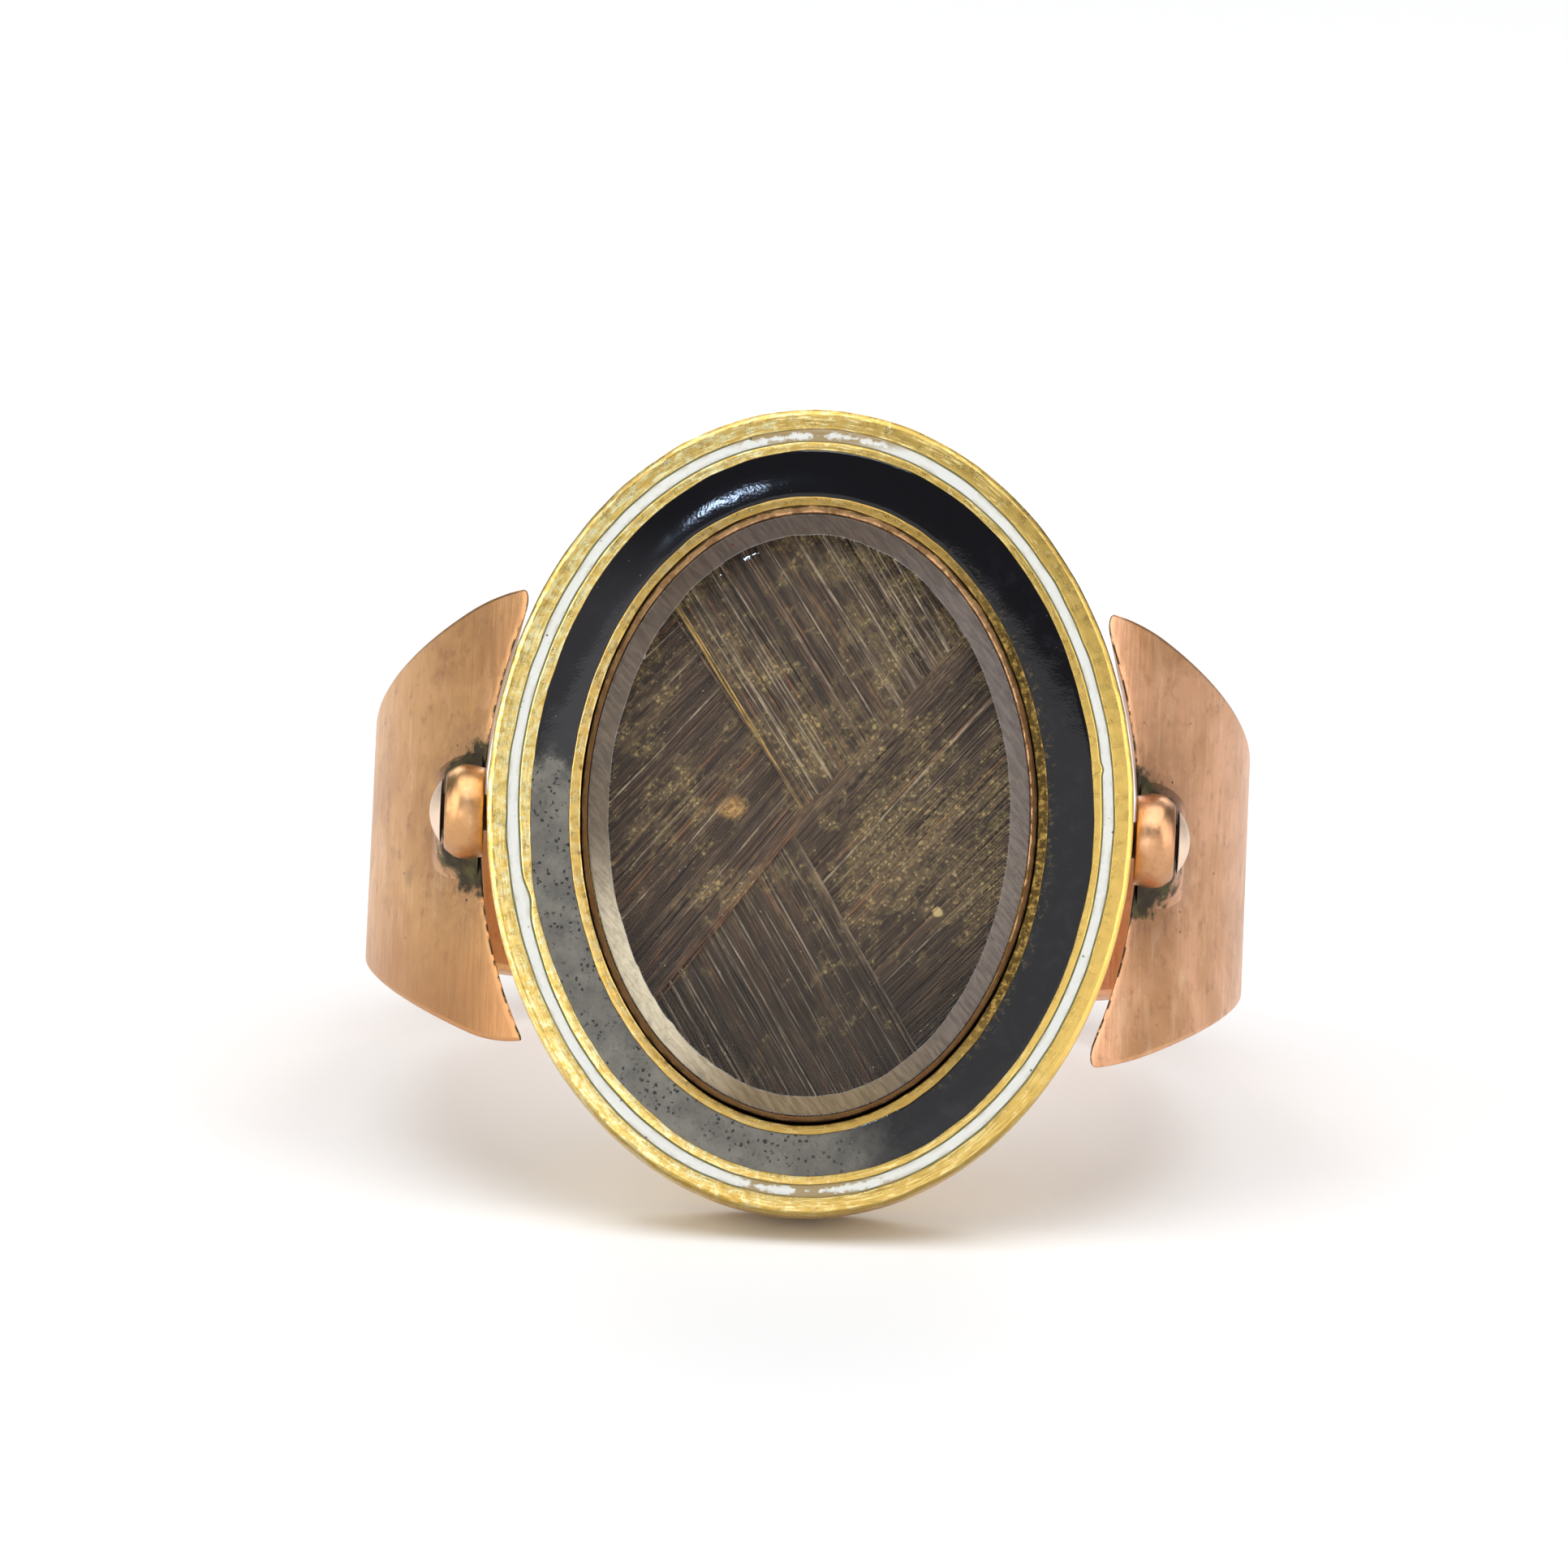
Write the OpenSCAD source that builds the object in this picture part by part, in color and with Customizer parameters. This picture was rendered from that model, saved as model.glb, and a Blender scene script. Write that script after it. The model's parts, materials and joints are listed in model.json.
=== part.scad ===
/* [Band] */
// Diameter of the finger hole
finger_d = 18.2; // [16:0.1:20]
// Thickness of the band
band_wall = 0.9; // [0.6:0.05:1.3]
// Width of the band at the back of the finger
back_w = 4; // [3:0.1:6]
// Width of the band across the tips of the shoulders
shoulder_w = 10.6; // [9:0.1:12]
// Distance from the shoulders' centre back to where the band starts to widen
flare_depth = 7; // [4:0.1:9]

/* [Head] */
// Width of the oval head
head_w = 14.26; // [12.5:0.02:15]
// Height of the oval head
head_h = 17.86; // [16:0.02:20]
// Thickness of the case from its front face to its back
head_t = 3; // [2.4:0.1:3.6]
// How far the oval's centre sits above the pivot
head_rise = 0.2; // [0:0.05:0.4]
// Thickness of the front plate, which carries the enamel
plate_t = 1.3; // [1:0.05:1.5]
// How much narrower each side of the case is at its back
case_taper = 0.27; // [0.1:0.01:0.4]
// Thickness of the case's side wall at its back
case_wall = 0.5; // [0.4:0.05:0.7]
// Thickness of the back plate
back_t = 0.4; // [0.3:0.05:0.6]
// Clearance between pieces that are set in one another
set_gap = 0.02; // [0.01:0.005:0.04]

/* [Enamel] */
// Width of the outer gold rim
rim_w = 0.44; // [0.3:0.01:0.6]
// Width of the white enamel band
white_w = 0.26; // [0.2:0.01:0.4]
// Width of the thin gold line
line_w = 0.23; // [0.15:0.01:0.35]
// Width of the black enamel band
black_w = 0.92; // [0.7:0.01:1.1]
// Width of the inner gold rim
inner_rim_w = 0.22; // [0.15:0.01:0.35]
// Depth of the channel under the white enamel
white_depth = 0.3; // [0.2:0.05:0.5]
// Depth of the channel under the black enamel
black_depth = 0.35; // [0.2:0.05:0.5]
// How far the enamel lies below the gold
enamel_sink = 0.02; // [0.01:0.01:0.05]

/* [Crystal] */
// Depth of the well that holds the collet
well_depth = 1; // [0.8:0.05:1.1]
// How far the well sits left of the oval's centre
well_shift = 0.1; // [0:0.02:0.2]
// Gap between the well and the collet
collet_gap = 0.11; // [0.06:0.01:0.16]
// Thickness of the collet's wall
collet_wall = 0.12; // [0.1:0.01:0.2]
// Thickness of the hair panel with its backing
hair_t = 0.2; // [0.1:0.05:0.3]
// Width of the bevel round the crystal
bevel_w = 0.44; // [0.3:0.02:0.6]
// Height of the bevel round the crystal
bevel_h = 0.25; // [0.15:0.05:0.4]

/* [Pivot] */
// Gap between the head's side and the shoulders at the pivot
pivot_gap = 0.17; // [0.15:0.01:0.3]
// Gap between the head's ends and the oval that the shoulders' tips follow
tip_gap = 0.97; // [0.7:0.01:1.3]
// Diameter of the pivot pins
pin_d = 0.8; // [0.6:0.05:1]
// Running clearance round each pin in its knuckle
pin_clear = 0.03; // [0.02:0.005:0.05]
// Diameter of the knuckles
knuckle_d = 2.1; // [1.8:0.05:2.4]
// Length of each knuckle along the pin
knuckle_len = 0.8; // [0.6:0.05:1.1]
// Chamfer on the knuckles' ends
knuckle_chamfer = 0.15; // [0.1:0.05:0.25]
// Height of the solder under each knuckle's outer end
solder_h = 0.58; // [0.4:0.02:0.8]
// Width of the solder under each knuckle
solder_w = 1.6; // [1.2:0.1:1.8]
// Diameter of the rivets' domed heads
rivet_d = 1.4; // [1.2:0.05:1.6]
// Height of the rivets' domed heads
rivet_h = 0.28; // [0.2:0.02:0.4]

/* [Hidden] */
$fn = 128;
oval_n = 120;
flare_n = 24;
far = 40;

// The finger's axis is upright here, and the head faces -Y.
finger_r = finger_d / 2;
band_r = finger_r + band_wall;
band_mid_r = finger_r + band_wall / 2;

head_a = head_w / 2;
head_b = head_h / 2;
cut_a = head_a + pivot_gap;
cut_b = head_b + tip_gap;

knuckle_r = knuckle_d / 2;
pin_r = pin_d / 2;
knuckle_x = cut_a + set_gap;
knuckle_end = knuckle_x + knuckle_len;
pivot_out = sqrt(pow(band_r, 2) - pow(knuckle_end, 2)) + solder_h + knuckle_r;
rivet_x = knuckle_end + pin_clear;
rivet_r = (pow(rivet_d / 2, 2) + pow(rivet_h, 2)) / (2 * rivet_h);
pin_tip = head_a - case_taper - case_wall - set_gap;

// The band is a round arch behind straight sides, so that a finger clears the head's back.
head_back = pivot_out - head_t / 2;
side_len = finger_r + set_gap - head_back;
band_back = side_len + band_r;

// The shoulders widen along one arc, from where the flare starts to their tips.
tip_z = shoulder_w / 2;
tip_x = cut_a * sqrt(1 - pow(tip_z / cut_b, 2));
tip_y = -sqrt(pow(band_r, 2) - pow(tip_x, 2));
flare_rise = (shoulder_w - back_w) / 2;
flare_run = flare_depth - tip_y;
flare_r = (pow(flare_run, 2) + pow(flare_rise, 2)) / (2 * flare_rise);

white_in = rim_w;
line_in = white_in + white_w;
black_in = line_in + line_w;
inner_rim_in = black_in + black_w;
well_in = inner_rim_in + inner_rim_w;
collet_in = well_in + collet_gap;
glass_in = collet_in + collet_wall + set_gap;

face_z = head_t / 2;
well_z = face_z - well_depth;
hair_z = well_z + set_gap;
glass_z = hair_z + hair_t + set_gap;

// The ring lies on its side, on the head's lower edge and the lower edge of the band's back.
foot_b = head_b - case_taper - head_rise;
tilt = atan2(foot_b - back_w / 2, head_back + band_back);
lift = band_back * sin(tilt) + back_w / 2 * cos(tilt);
front_y = (pivot_out + face_z) * cos(tilt) + (head_b - head_rise) * sin(tilt);
rear_y = band_back * cos(tilt) + back_w / 2 * sin(tilt);

// Lays the upright ring down and centres it over the origin.
module lie_down() {
    translate([0, (front_y - rear_y) / 2, lift])
        rotate([-tilt, 0, 0])
            children();
}

// Puts a piece of the head, drawn with its face up and the pivot at zero, in its place.
module on_head() {
    lie_down()
        translate([0, -pivot_out, head_rise])
            rotate([90, 0, 0])
                children();
}

// The points of an oval with the given half width and half height.
function oval_points(a, b) = [for (i = [0:oval_n - 1]) [a * cos(360 * i / oval_n), b * sin(360 * i / oval_n)]];

// An upright oval inset by a constant amount from the head's outline.
module oval(inset, from_z, to_z, shift = 0) {
    translate([-shift, 0, from_z])
        linear_extrude(to_z - from_z)
            polygon(oval_points(head_a - inset, head_b - inset));
}

// An oval that tapers evenly from one inset at its foot to another at its top.
module tapered_oval(foot_in, top_in, from_z, to_z, shift = 0) {
    foot = [for (p = oval_points(head_a - foot_in, head_b - foot_in)) [p[0] - shift, p[1], from_z]];
    top = [for (p = oval_points(head_a - top_in, head_b - top_in)) [p[0] - shift, p[1], to_z]];
    sides = [for (i = [0:oval_n - 1]) let (j = (i + 1) % oval_n)
             each [[i, oval_n + i, oval_n + j], [i, oval_n + j, j]]];
    polyhedron(concat(foot, top), concat(sides, [[for (i = [0:oval_n - 1]) i],
                                                [for (i = [oval_n - 1:-1:0]) oval_n + i]]));
}

// One part of the hoop's wall, swept round the finger's axis.
module band_arc(start, sweep) {
    rotate([0, 0, start])
        rotate_extrude(angle = sweep)
            translate([finger_r, -shoulder_w])
                square([band_wall, 2 * shoulder_w]);
}

module band_side() {
    translate([finger_r, 0, -shoulder_w])
        cube([band_wall, side_len, 2 * shoulder_w]);
}

// Half the band's width at a distance behind the shoulders' centre: one long arc, then straight.
function half_width(y) = back_w / 2
    + (y < flare_depth ? flare_r - sqrt(pow(flare_r, 2) - pow(flare_depth - y, 2)) : 0);

// The band's outline from the side, drawn with the distance behind the centre across the page.
module side_outline() {
    run = [for (i = [0:flare_n]) flare_depth + (tip_y - 1 - flare_depth) * i / flare_n];
    upper = concat([[band_back + 1, back_w / 2]], [for (y = run) [y, half_width(y)]]);
    lower = [for (i = [len(upper) - 1:-1:0]) [upper[i][0], -upper[i][1]]];
    polygon(concat(upper, lower));
}

module band() {
    difference() {
        intersection() {
            union() {
                band_arc(-60, 60);
                band_arc(180, 60);
                band_side();
                mirror([1, 0, 0]) band_side();
                translate([0, side_len, 0]) band_arc(0, 180);
            }
            rotate([90, 0, 90])
                translate([0, 0, -far / 2])
                    linear_extrude(far)
                        side_outline();
        }
        rotate([90, 0, 0])
            linear_extrude(far)
                polygon(oval_points(cut_a, cut_b));
    }
}

// A chamfered barrel on the shoulder, with the solder that it stands on.
module knuckle() {
    translate([knuckle_x, -pivot_out, 0])
        rotate([0, 90, 0])
            rotate_extrude()
                polygon([[0, 0], [knuckle_r - knuckle_chamfer, 0], [knuckle_r, knuckle_chamfer],
                         [knuckle_r, knuckle_len - knuckle_chamfer],
                         [knuckle_r - knuckle_chamfer, knuckle_len], [0, knuckle_len]]);
    difference() {
        translate([knuckle_x, -pivot_out, -solder_w / 2])
            cube([knuckle_len - knuckle_chamfer, pivot_out, solder_w]);
        cylinder(r = band_mid_r, h = far, center = true);
    }
}

module shank() {
    color("#b9785c")
        lie_down()
            difference() {
                union() {
                    band();
                    knuckle();
                    mirror([1, 0, 0]) knuckle();
                }
                translate([0, -pivot_out, 0])
                    rotate([0, 90, 0])
                        cylinder(r = pin_r + pin_clear, h = far, center = true);
            }
}

// The gold case: the front plate with its channels and well, and the tapered side wall.
module head_case() {
    color("#d8a531")
        on_head()
            difference() {
                union() {
                    oval(0, face_z - plate_t, face_z);
                    tapered_oval(case_taper, 0, -face_z, face_z - plate_t);
                }
                difference() {
                    oval(white_in, face_z - white_depth, face_z + 1);
                    oval(line_in, face_z - white_depth - 1, face_z + 2);
                }
                difference() {
                    oval(black_in, face_z - black_depth, face_z + 1);
                    oval(inner_rim_in, face_z - black_depth - 1, face_z + 2, well_shift);
                }
                oval(well_in, well_z, face_z + 1, well_shift);
                oval(case_taper + case_wall, -face_z - 1, face_z - plate_t);
                for (side = [-1, 1])
                    translate([side * head_a, -head_rise, 0])
                        rotate([0, 90, 0])
                            cylinder(r = pin_r + set_gap, h = 2 * (head_a - pin_tip + set_gap), center = true);
            }
}

module case_back() {
    color("#cf9f3c")
        on_head()
            oval(case_taper + case_wall + set_gap, -face_z, back_t - face_z);
}

module white_enamel() {
    color("#e8edf2")
        on_head()
            difference() {
                oval(white_in + set_gap, face_z - white_depth + set_gap, face_z - enamel_sink);
                oval(line_in - set_gap, face_z - white_depth - 1, face_z + 1);
            }
}

module black_enamel() {
    color("#15161c")
        on_head()
            difference() {
                oval(black_in + set_gap, face_z - black_depth + set_gap, face_z - enamel_sink);
                oval(inner_rim_in - set_gap, face_z - black_depth - 1, face_z + 1, well_shift);
            }
}

module crystal_collet() {
    color("#b06a3c")
        on_head()
            difference() {
                oval(collet_in, hair_z, face_z, well_shift);
                oval(collet_in + collet_wall, hair_z - 1, face_z + 1, well_shift);
            }
}

module hair_panel() {
    color("#4a3a2a")
        on_head()
            oval(glass_in, hair_z, hair_z + hair_t, well_shift);
}

// The crystal has an upright girdle up to the collet's lip and a bevel above it.
module crystal() {
    color("#b8b4bc")
        on_head() {
            oval(glass_in, glass_z, face_z, well_shift);
            tapered_oval(glass_in, glass_in + bevel_w, face_z, face_z + bevel_h, well_shift);
        }
}

// A pin with a domed rivet head, turned round its own axis.
module pivot_pin() {
    translate([0, -pivot_out, 0])
        rotate([0, 90, 0])
            rotate_extrude() {
                translate([0, pin_tip])
                    square([pin_r, rivet_x - pin_tip]);
                intersection() {
                    translate([0, rivet_x + rivet_h - rivet_r])
                        circle(r = rivet_r);
                    translate([0, rivet_x])
                        square([rivet_r, rivet_r]);
                }
            }
}

module pivot_pin_left() {
    color("#c9a080")
        lie_down()
            mirror([1, 0, 0]) pivot_pin();
}

module pivot_pin_right() {
    color("#c9a080")
        lie_down()
            pivot_pin();
}

shank();
head_case();
case_back();
white_enamel();
black_enamel();
crystal_collet();
hair_panel();
crystal();
pivot_pin_left();
pivot_pin_right();
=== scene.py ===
"""The looks of a swivel mourning ring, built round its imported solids.

The ring lies on its side. An oval head of enamelled gold turns on two pins between the shoulders of a
wide rose gold band, and plaited hair lies under the bevelled crystal in its middle. Every piece is a grid
of points worked out as whole arrays, in the ring's own upright frame or in the head's, and then laid down.
"""

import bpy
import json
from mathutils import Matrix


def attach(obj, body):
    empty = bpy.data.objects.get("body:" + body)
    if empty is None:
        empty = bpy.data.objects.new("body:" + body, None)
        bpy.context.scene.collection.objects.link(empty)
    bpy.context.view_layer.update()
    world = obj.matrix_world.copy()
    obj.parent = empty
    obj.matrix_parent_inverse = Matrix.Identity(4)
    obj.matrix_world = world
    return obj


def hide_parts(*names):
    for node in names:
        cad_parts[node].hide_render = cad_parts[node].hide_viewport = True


bl_info = {
    "name": "Mourning Ring",
    "version": (1, 0, 0),
    "blender": (4, 5, 0),
    "location": "View3D > Sidebar > Mourning Ring",
    "description": "Dresses a swivel mourning ring with worn gold, enamel, crystal and plaited hair",
    "category": "Object",
}

import json
import math
from functools import cached_property
from types import SimpleNamespace

import bpy
import numpy as np
from bpy.props import FloatProperty, FloatVectorProperty, IntProperty, PointerProperty
from bpy.types import Operator, Panel, PropertyGroup
from mathutils import Quaternion, Vector

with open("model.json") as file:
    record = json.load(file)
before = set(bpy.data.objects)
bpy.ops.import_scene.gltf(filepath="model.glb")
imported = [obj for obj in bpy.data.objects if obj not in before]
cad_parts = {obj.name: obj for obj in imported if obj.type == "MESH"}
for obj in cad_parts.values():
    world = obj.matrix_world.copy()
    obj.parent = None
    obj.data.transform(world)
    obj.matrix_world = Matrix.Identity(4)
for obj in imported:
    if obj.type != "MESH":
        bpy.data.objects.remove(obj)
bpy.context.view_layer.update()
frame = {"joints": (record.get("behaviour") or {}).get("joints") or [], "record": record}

MM = 0.001
MOUNT = frame["record"]["mounts"][0]
SWIVEL = frame["joints"][0]

# The finger's axis is the upright ring's height, and BACK points from the head to the band's back.
UP = np.array(MOUNT["axis"], float)
BACK = np.array([0.0, UP[2], -UP[1]])
RIGHT = np.array([1.0, 0.0, 0.0])
PIVOT = np.array(SWIVEL["pos_m"], float)
TILT = math.atan2(UP[1], UP[2])

# The directions in which the head's ovals are drawn, from the right round over the top.
TURN = np.linspace(0, 2 * math.pi, 640, endpoint=False)


def size(name, description, millimetres):
    """A length that a user would change."""
    length = millimetres * MM
    return FloatProperty(name=name, description=description, default=length, unit="LENGTH", precision=6)


def lean(name, description, degrees):
    """An angle that a user would change."""
    return FloatProperty(name=name, description=description, default=math.radians(degrees), subtype="ANGLE")


def ratio(name, description, value):
    """A share that a user would change."""
    return FloatProperty(name=name, description=description, default=value)


def amount(name, description, number):
    """A number of things that a user would change."""
    return IntProperty(name=name, description=description, default=number, min=20)


def tone(name, description, colour):
    """A colour that a user would change."""
    limits = {"min": 0, "max": 1}
    return FloatVectorProperty(name=name, description=description, default=colour, subtype="COLOR", **limits)


class BandSizes(PropertyGroup):
    """The finger band and its shoulders."""

    finger_r: size("Finger radius", "Radius of the finger hole", MOUNT["dims"]["r_mm"])
    wall: size("Wall", "Thickness of the band", 0.9)
    back_w: size("Back width", "Width of the band at the back of the finger", 4.0)
    shoulder_w: size("Shoulder width", "Width across the shoulders, before their tips droop", 10.96)
    flare_depth: size("Flare depth", "How far behind the shoulders' centre the band starts to widen", 7.0)
    edge_r: size("Edge rounding", "Radius of the band's long edges", 0.16)
    end_r: size("End rounding", "Radius of the edges of the shoulders' ends", 0.05)
    upper_tip: size("Upper tips", "Radius of the shoulders' upper tips, seen from the front", 0.70)
    left_tip: size("Lower left tip", "Radius of the left shoulder's lower tip", 0.12)
    right_tip: size("Lower right tip", "Radius of the right shoulder's lower tip", 0.70)
    upper_droop: size("Upper droop", "How much the band's outline flattens before its upper tips", 0.175)
    left_droop: size("Left droop", "How much it flattens before the left shoulder's lower tip", 0.30)
    right_droop: size("Right droop", "How much it flattens before the right shoulder's lower tip", 0.10)
    droop_run: size("Droop run", "How far from the tips the outline starts to flatten", 1.7)
    long_tip: size("Longer tip", "How much farther the left shoulder's lower tip reaches", 0.17)


class HeadSizes(PropertyGroup):
    """The oval case."""

    width: size("Width", "Width of the oval head", 14.26)
    height: size("Height", "Height of the oval head", 17.86)
    thick: size("Thickness", "Thickness of the case from its face to its back", 3.0)
    rise: size("Rise", "How far the oval's centre sits above the pivot", 0.2)
    plate: size("Front plate", "Thickness of the front plate", 1.3)
    taper: size("Taper", "How much narrower each side of the case is at its back", 0.27)
    wall: size("Case wall", "Thickness of the side wall at its back", 0.5)
    back: size("Back plate", "Thickness of the back plate", 0.4)
    gap: size("Setting gap", "Clearance between pieces that are set in one another", 0.02)
    fall: size("Face fall", "How much lower the face lies at its edge than at the well", 0.12)
    askew: lean("Askew", "How far the oval is turned in its own plane, from the band's axis", 1.25)


class EnamelSizes(PropertyGroup):
    """The gold rims and the enamel between them."""

    rim_w: size("Outer rim", "Width of the outer gold rim", 0.44)
    white_w: size("White band", "Width of the white enamel band", 0.26)
    line_w: size("Gold line", "Width of the thin gold line", 0.23)
    black_w: size("Black band", "Width of the black enamel band", 0.92)
    inner_w: size("Inner rim", "Width of the inner gold rim", 0.22)
    white_depth: size("White depth", "Depth of the channel under the white enamel", 0.3)
    black_depth: size("Black depth", "Depth of the channel under the black enamel", 0.35)
    sink: size("Sink", "How far the enamel lies below the gold", 0.02)


class CrystalSizes(PropertyGroup):
    """The well with its collet, crystal and hair."""

    well_depth: size("Well depth", "Depth of the well that holds the collet", 1.0)
    collet_gap: size("Collet gap", "Gap between the well and the collet", 0.03)
    collet_wall: size("Collet wall", "Thickness of the collet's wall", 0.15)
    left: size("Crystal left", "How far the crystal sits left of the head's centre", 0.03)
    low: size("Crystal low", "How far the crystal sits below the head's centre", 0.09)
    hair_t: size("Hair panel", "Thickness of the hair with its backing", 0.2)
    bevel_w: size("Bevel width", "Width of the bevel round the crystal", 0.44)
    bevel_h: size("Bevel height", "Height of the bevel round the crystal", 0.25)
    strand_w: size("Strand", "Width of one strand of hair", 0.05)
    strands: amount("Strands", "Strands laid side by side in each strip", 420)


class PivotSizes(PropertyGroup):
    """The knuckles, pins and rivets."""

    side_gap: size("Side gap", "Gap between the head's side and the shoulders at the pivot", 0.17)
    tip_gap: size("Tip gap", "Gap between the head's ends and the oval that the shoulders follow", 0.80)
    pin_d: size("Pin", "Diameter of the pivot pins", 0.8)
    clear: size("Running clearance", "Clearance round each pin in its knuckle", 0.03)
    knuckle_d: size("Knuckle", "Diameter of the knuckles", 2.1)
    knuckle_len: size("Knuckle length", "Length of each knuckle along the pin", 0.8)
    solder_h: size("Solder", "Height of the solder under each knuckle's outer end", 0.58)
    rivet_d: size("Rivet", "Diameter of the rivets' domed heads", 1.4)
    rivet_h: size("Rivet height", "Height of the rivets' domed heads", 0.28)


class FinishTones(PropertyGroup):
    """The colours of metal, enamel, crystal and hair."""

    rose: tone("Rose gold", "Browner gold of the band's left side", (0.74, 0.42, 0.182))
    rose_pink: tone("Pink gold", "Pinker gold of the band's right side", (0.81, 0.44, 0.25))
    # Browner patches, and also painted shade towards the left shoulder's lower part.
    rose_dark_and_shade: tone("Worn rose gold", "Browner patches on the band", (0.56, 0.28, 0.12))
    tarnish: tone("Tarnish", "Green-black deposit beside the knuckles", (0.030, 0.034, 0.028))
    gold: tone("Yellow gold", "Clean gold of the rims", (0.88, 0.585, 0.155))
    # Painted light: the paler gold of the rims' left side.
    gold_lit: tone("Warm gold", "Warmer gold of the rims' left side", (0.96, 0.69, 0.21))
    # Painted shade: the darker gold of the rims' top, bottom and upper right, and of their dark tool marks.
    gold_shaded: tone("Olive gold", "Dull gold in the hollows of the rims", (0.44, 0.30, 0.08))
    dirt: tone("Dirt", "Dark dirt along the borders of the enamel", (0.035, 0.03, 0.016))
    white: tone("White enamel", "Clean white enamel", (0.65, 0.645, 0.59))
    black: tone("Black enamel", "Clean black enamel", (0.0045, 0.0045, 0.006))
    # Scuffed bloom and painted reflection on the black enamel.
    haze_and_reflection: tone("Haze", "Scuffed bloom on the black enamel", (0.165, 0.155, 0.130))
    copper: tone("Collet", "Browned metal of the collet", (0.15, 0.08, 0.03))
    glass: tone("Crystal", "Tint of the crystal", (0.95, 0.92, 0.90))
    # Painted reflection on the bevel's right side.
    frost_reflection: tone("Frost", "Bloom on the worn bevel", (0.26, 0.222, 0.21))
    hair_dark: tone("Dark hair", "Darkest strands", (0.013, 0.0085, 0.005))
    hair: tone("Hair", "Common strands", (0.066, 0.041, 0.023))
    hair_light: tone("Light hair", "Palest strands", (0.35, 0.285, 0.205))
    hair_red: tone("Red hair", "Reddish strands", (0.17, 0.075, 0.030))
    mould: tone("Mould", "Olive-yellow mould and dust on the hair", (0.34, 0.265, 0.115))


class StageSizes(PropertyGroup):
    """The camera and the studio."""

    below: lean("View below normal", "How far the camera stands below the head's normal", 6.2)
    roll: lean("Roll", "How far the ring is turned clockwise in the picture", 2.45)
    distance: size("Distance", "Distance from the camera to the head's face", 230.0)
    framed: size("Framed width", "Width that the picture shows at the head's face", 34.52)
    right: ratio("Right of centre", "How far right the head lies, as a share of the picture", 0.0168)
    low: ratio("Below centre", "How far low the head lies, as a share of the picture", 0.0166)
    floor_r: size("Floor", "Radius of the flat part of the floor", 900.0)


class RingSettings(PropertyGroup):
    """All the settings of the ring."""

    band: PointerProperty(type=BandSizes)
    head: PointerProperty(type=HeadSizes)
    enamel: PointerProperty(type=EnamelSizes)
    crystal: PointerProperty(type=CrystalSizes)
    pivot: PointerProperty(type=PivotSizes)
    tones: PointerProperty(type=FinishTones)
    stage: PointerProperty(type=StageSizes)


def plan(ring):
    """The places that follow from the sizes, in metres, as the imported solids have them."""
    band, head, enamel, crystal, pivot = ring.band, ring.head, ring.enamel, ring.crystal, ring.pivot
    p = SimpleNamespace()
    p.band_r = band.finger_r + band.wall
    p.a = head.width / 2
    p.b = head.height / 2
    p.cut_a = p.a + pivot.side_gap
    p.cut_b = p.b + pivot.tip_gap
    p.pin_r = pivot.pin_d / 2
    p.bore_r = p.pin_r + pivot.clear
    p.knuckle_r = pivot.knuckle_d / 2
    p.knuckle_x = p.cut_a + head.gap
    p.knuckle_end = p.knuckle_x + pivot.knuckle_len
    p.rivet_x = p.knuckle_end + pivot.clear
    p.pin_tip = p.a - head.taper - head.wall - head.gap
    mount_back = float(np.dot(np.array(MOUNT["pos_m"]) - PIVOT, BACK))
    p.face_z = head.thick / 2
    p.pivot_out = math.sqrt(p.band_r**2 - p.knuckle_end**2) + pivot.solder_h + p.knuckle_r
    p.side_len = mount_back - p.pivot_out
    p.rivet_edge = pivot.rivet_d / 2
    tip_z = band.shoulder_w / 2
    tip_x = p.cut_a * math.sqrt(1 - (tip_z / p.cut_b) ** 2)
    p.tip_y = -math.sqrt(p.band_r**2 - tip_x**2)
    rise = (band.shoulder_w - band.back_w) / 2
    p.flare_r = ((band.flare_depth - p.tip_y) ** 2 + rise**2) / (2 * rise)
    p.white_in = enamel.rim_w
    p.line_in = p.white_in + enamel.white_w
    p.black_in = p.line_in + enamel.line_w
    p.inner_in = p.black_in + enamel.black_w
    p.well_in = p.inner_in + enamel.inner_w
    p.collet_in = p.well_in + crystal.collet_gap
    p.lip_in = p.collet_in + crystal.collet_wall
    p.glass_in = p.lip_in + head.gap
    p.table_in = p.glass_in + crystal.bevel_w
    p.hair_z = p.face_z - crystal.well_depth + head.gap
    p.glass_z = p.hair_z + crystal.hair_t + head.gap
    return p


def lay_upright(points, p):
    """Points of the upright ring, laid down: x stays, y runs back from the shoulders' centre, z runs up."""
    x, y, z = np.moveaxis(points, -1, 0)[..., None]
    return PIVOT + RIGHT * x + BACK * (y + p.pivot_out) + UP * z


def lay_head(points, ring):
    """Points of the head, drawn with its face up and the oval's centre at zero, laid in their place."""
    x, y, z = np.moveaxis(points, -1, 0)[..., None]
    cos, sin = math.cos(ring.head.askew), math.sin(ring.head.askew)
    return PIVOT + RIGHT * (x * cos - y * sin) + UP * (x * sin + y * cos + ring.head.rise) - BACK * z


def grid_quads(rows, columns, rows_close, columns_close):
    """The quads of a grid of points numbered row by row, joined round where a direction closes."""
    r = np.arange(rows if rows_close else rows - 1)[:, None]
    c = np.arange(columns if columns_close else columns - 1)[None, :]
    r2, c2 = (r + 1) % rows, (c + 1) % columns
    corners = [r * columns + c, r * columns + c2, r2 * columns + c2, r2 * columns + c]
    return np.stack(np.broadcast_arrays(*corners), -1).reshape(-1, 4)


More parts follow.
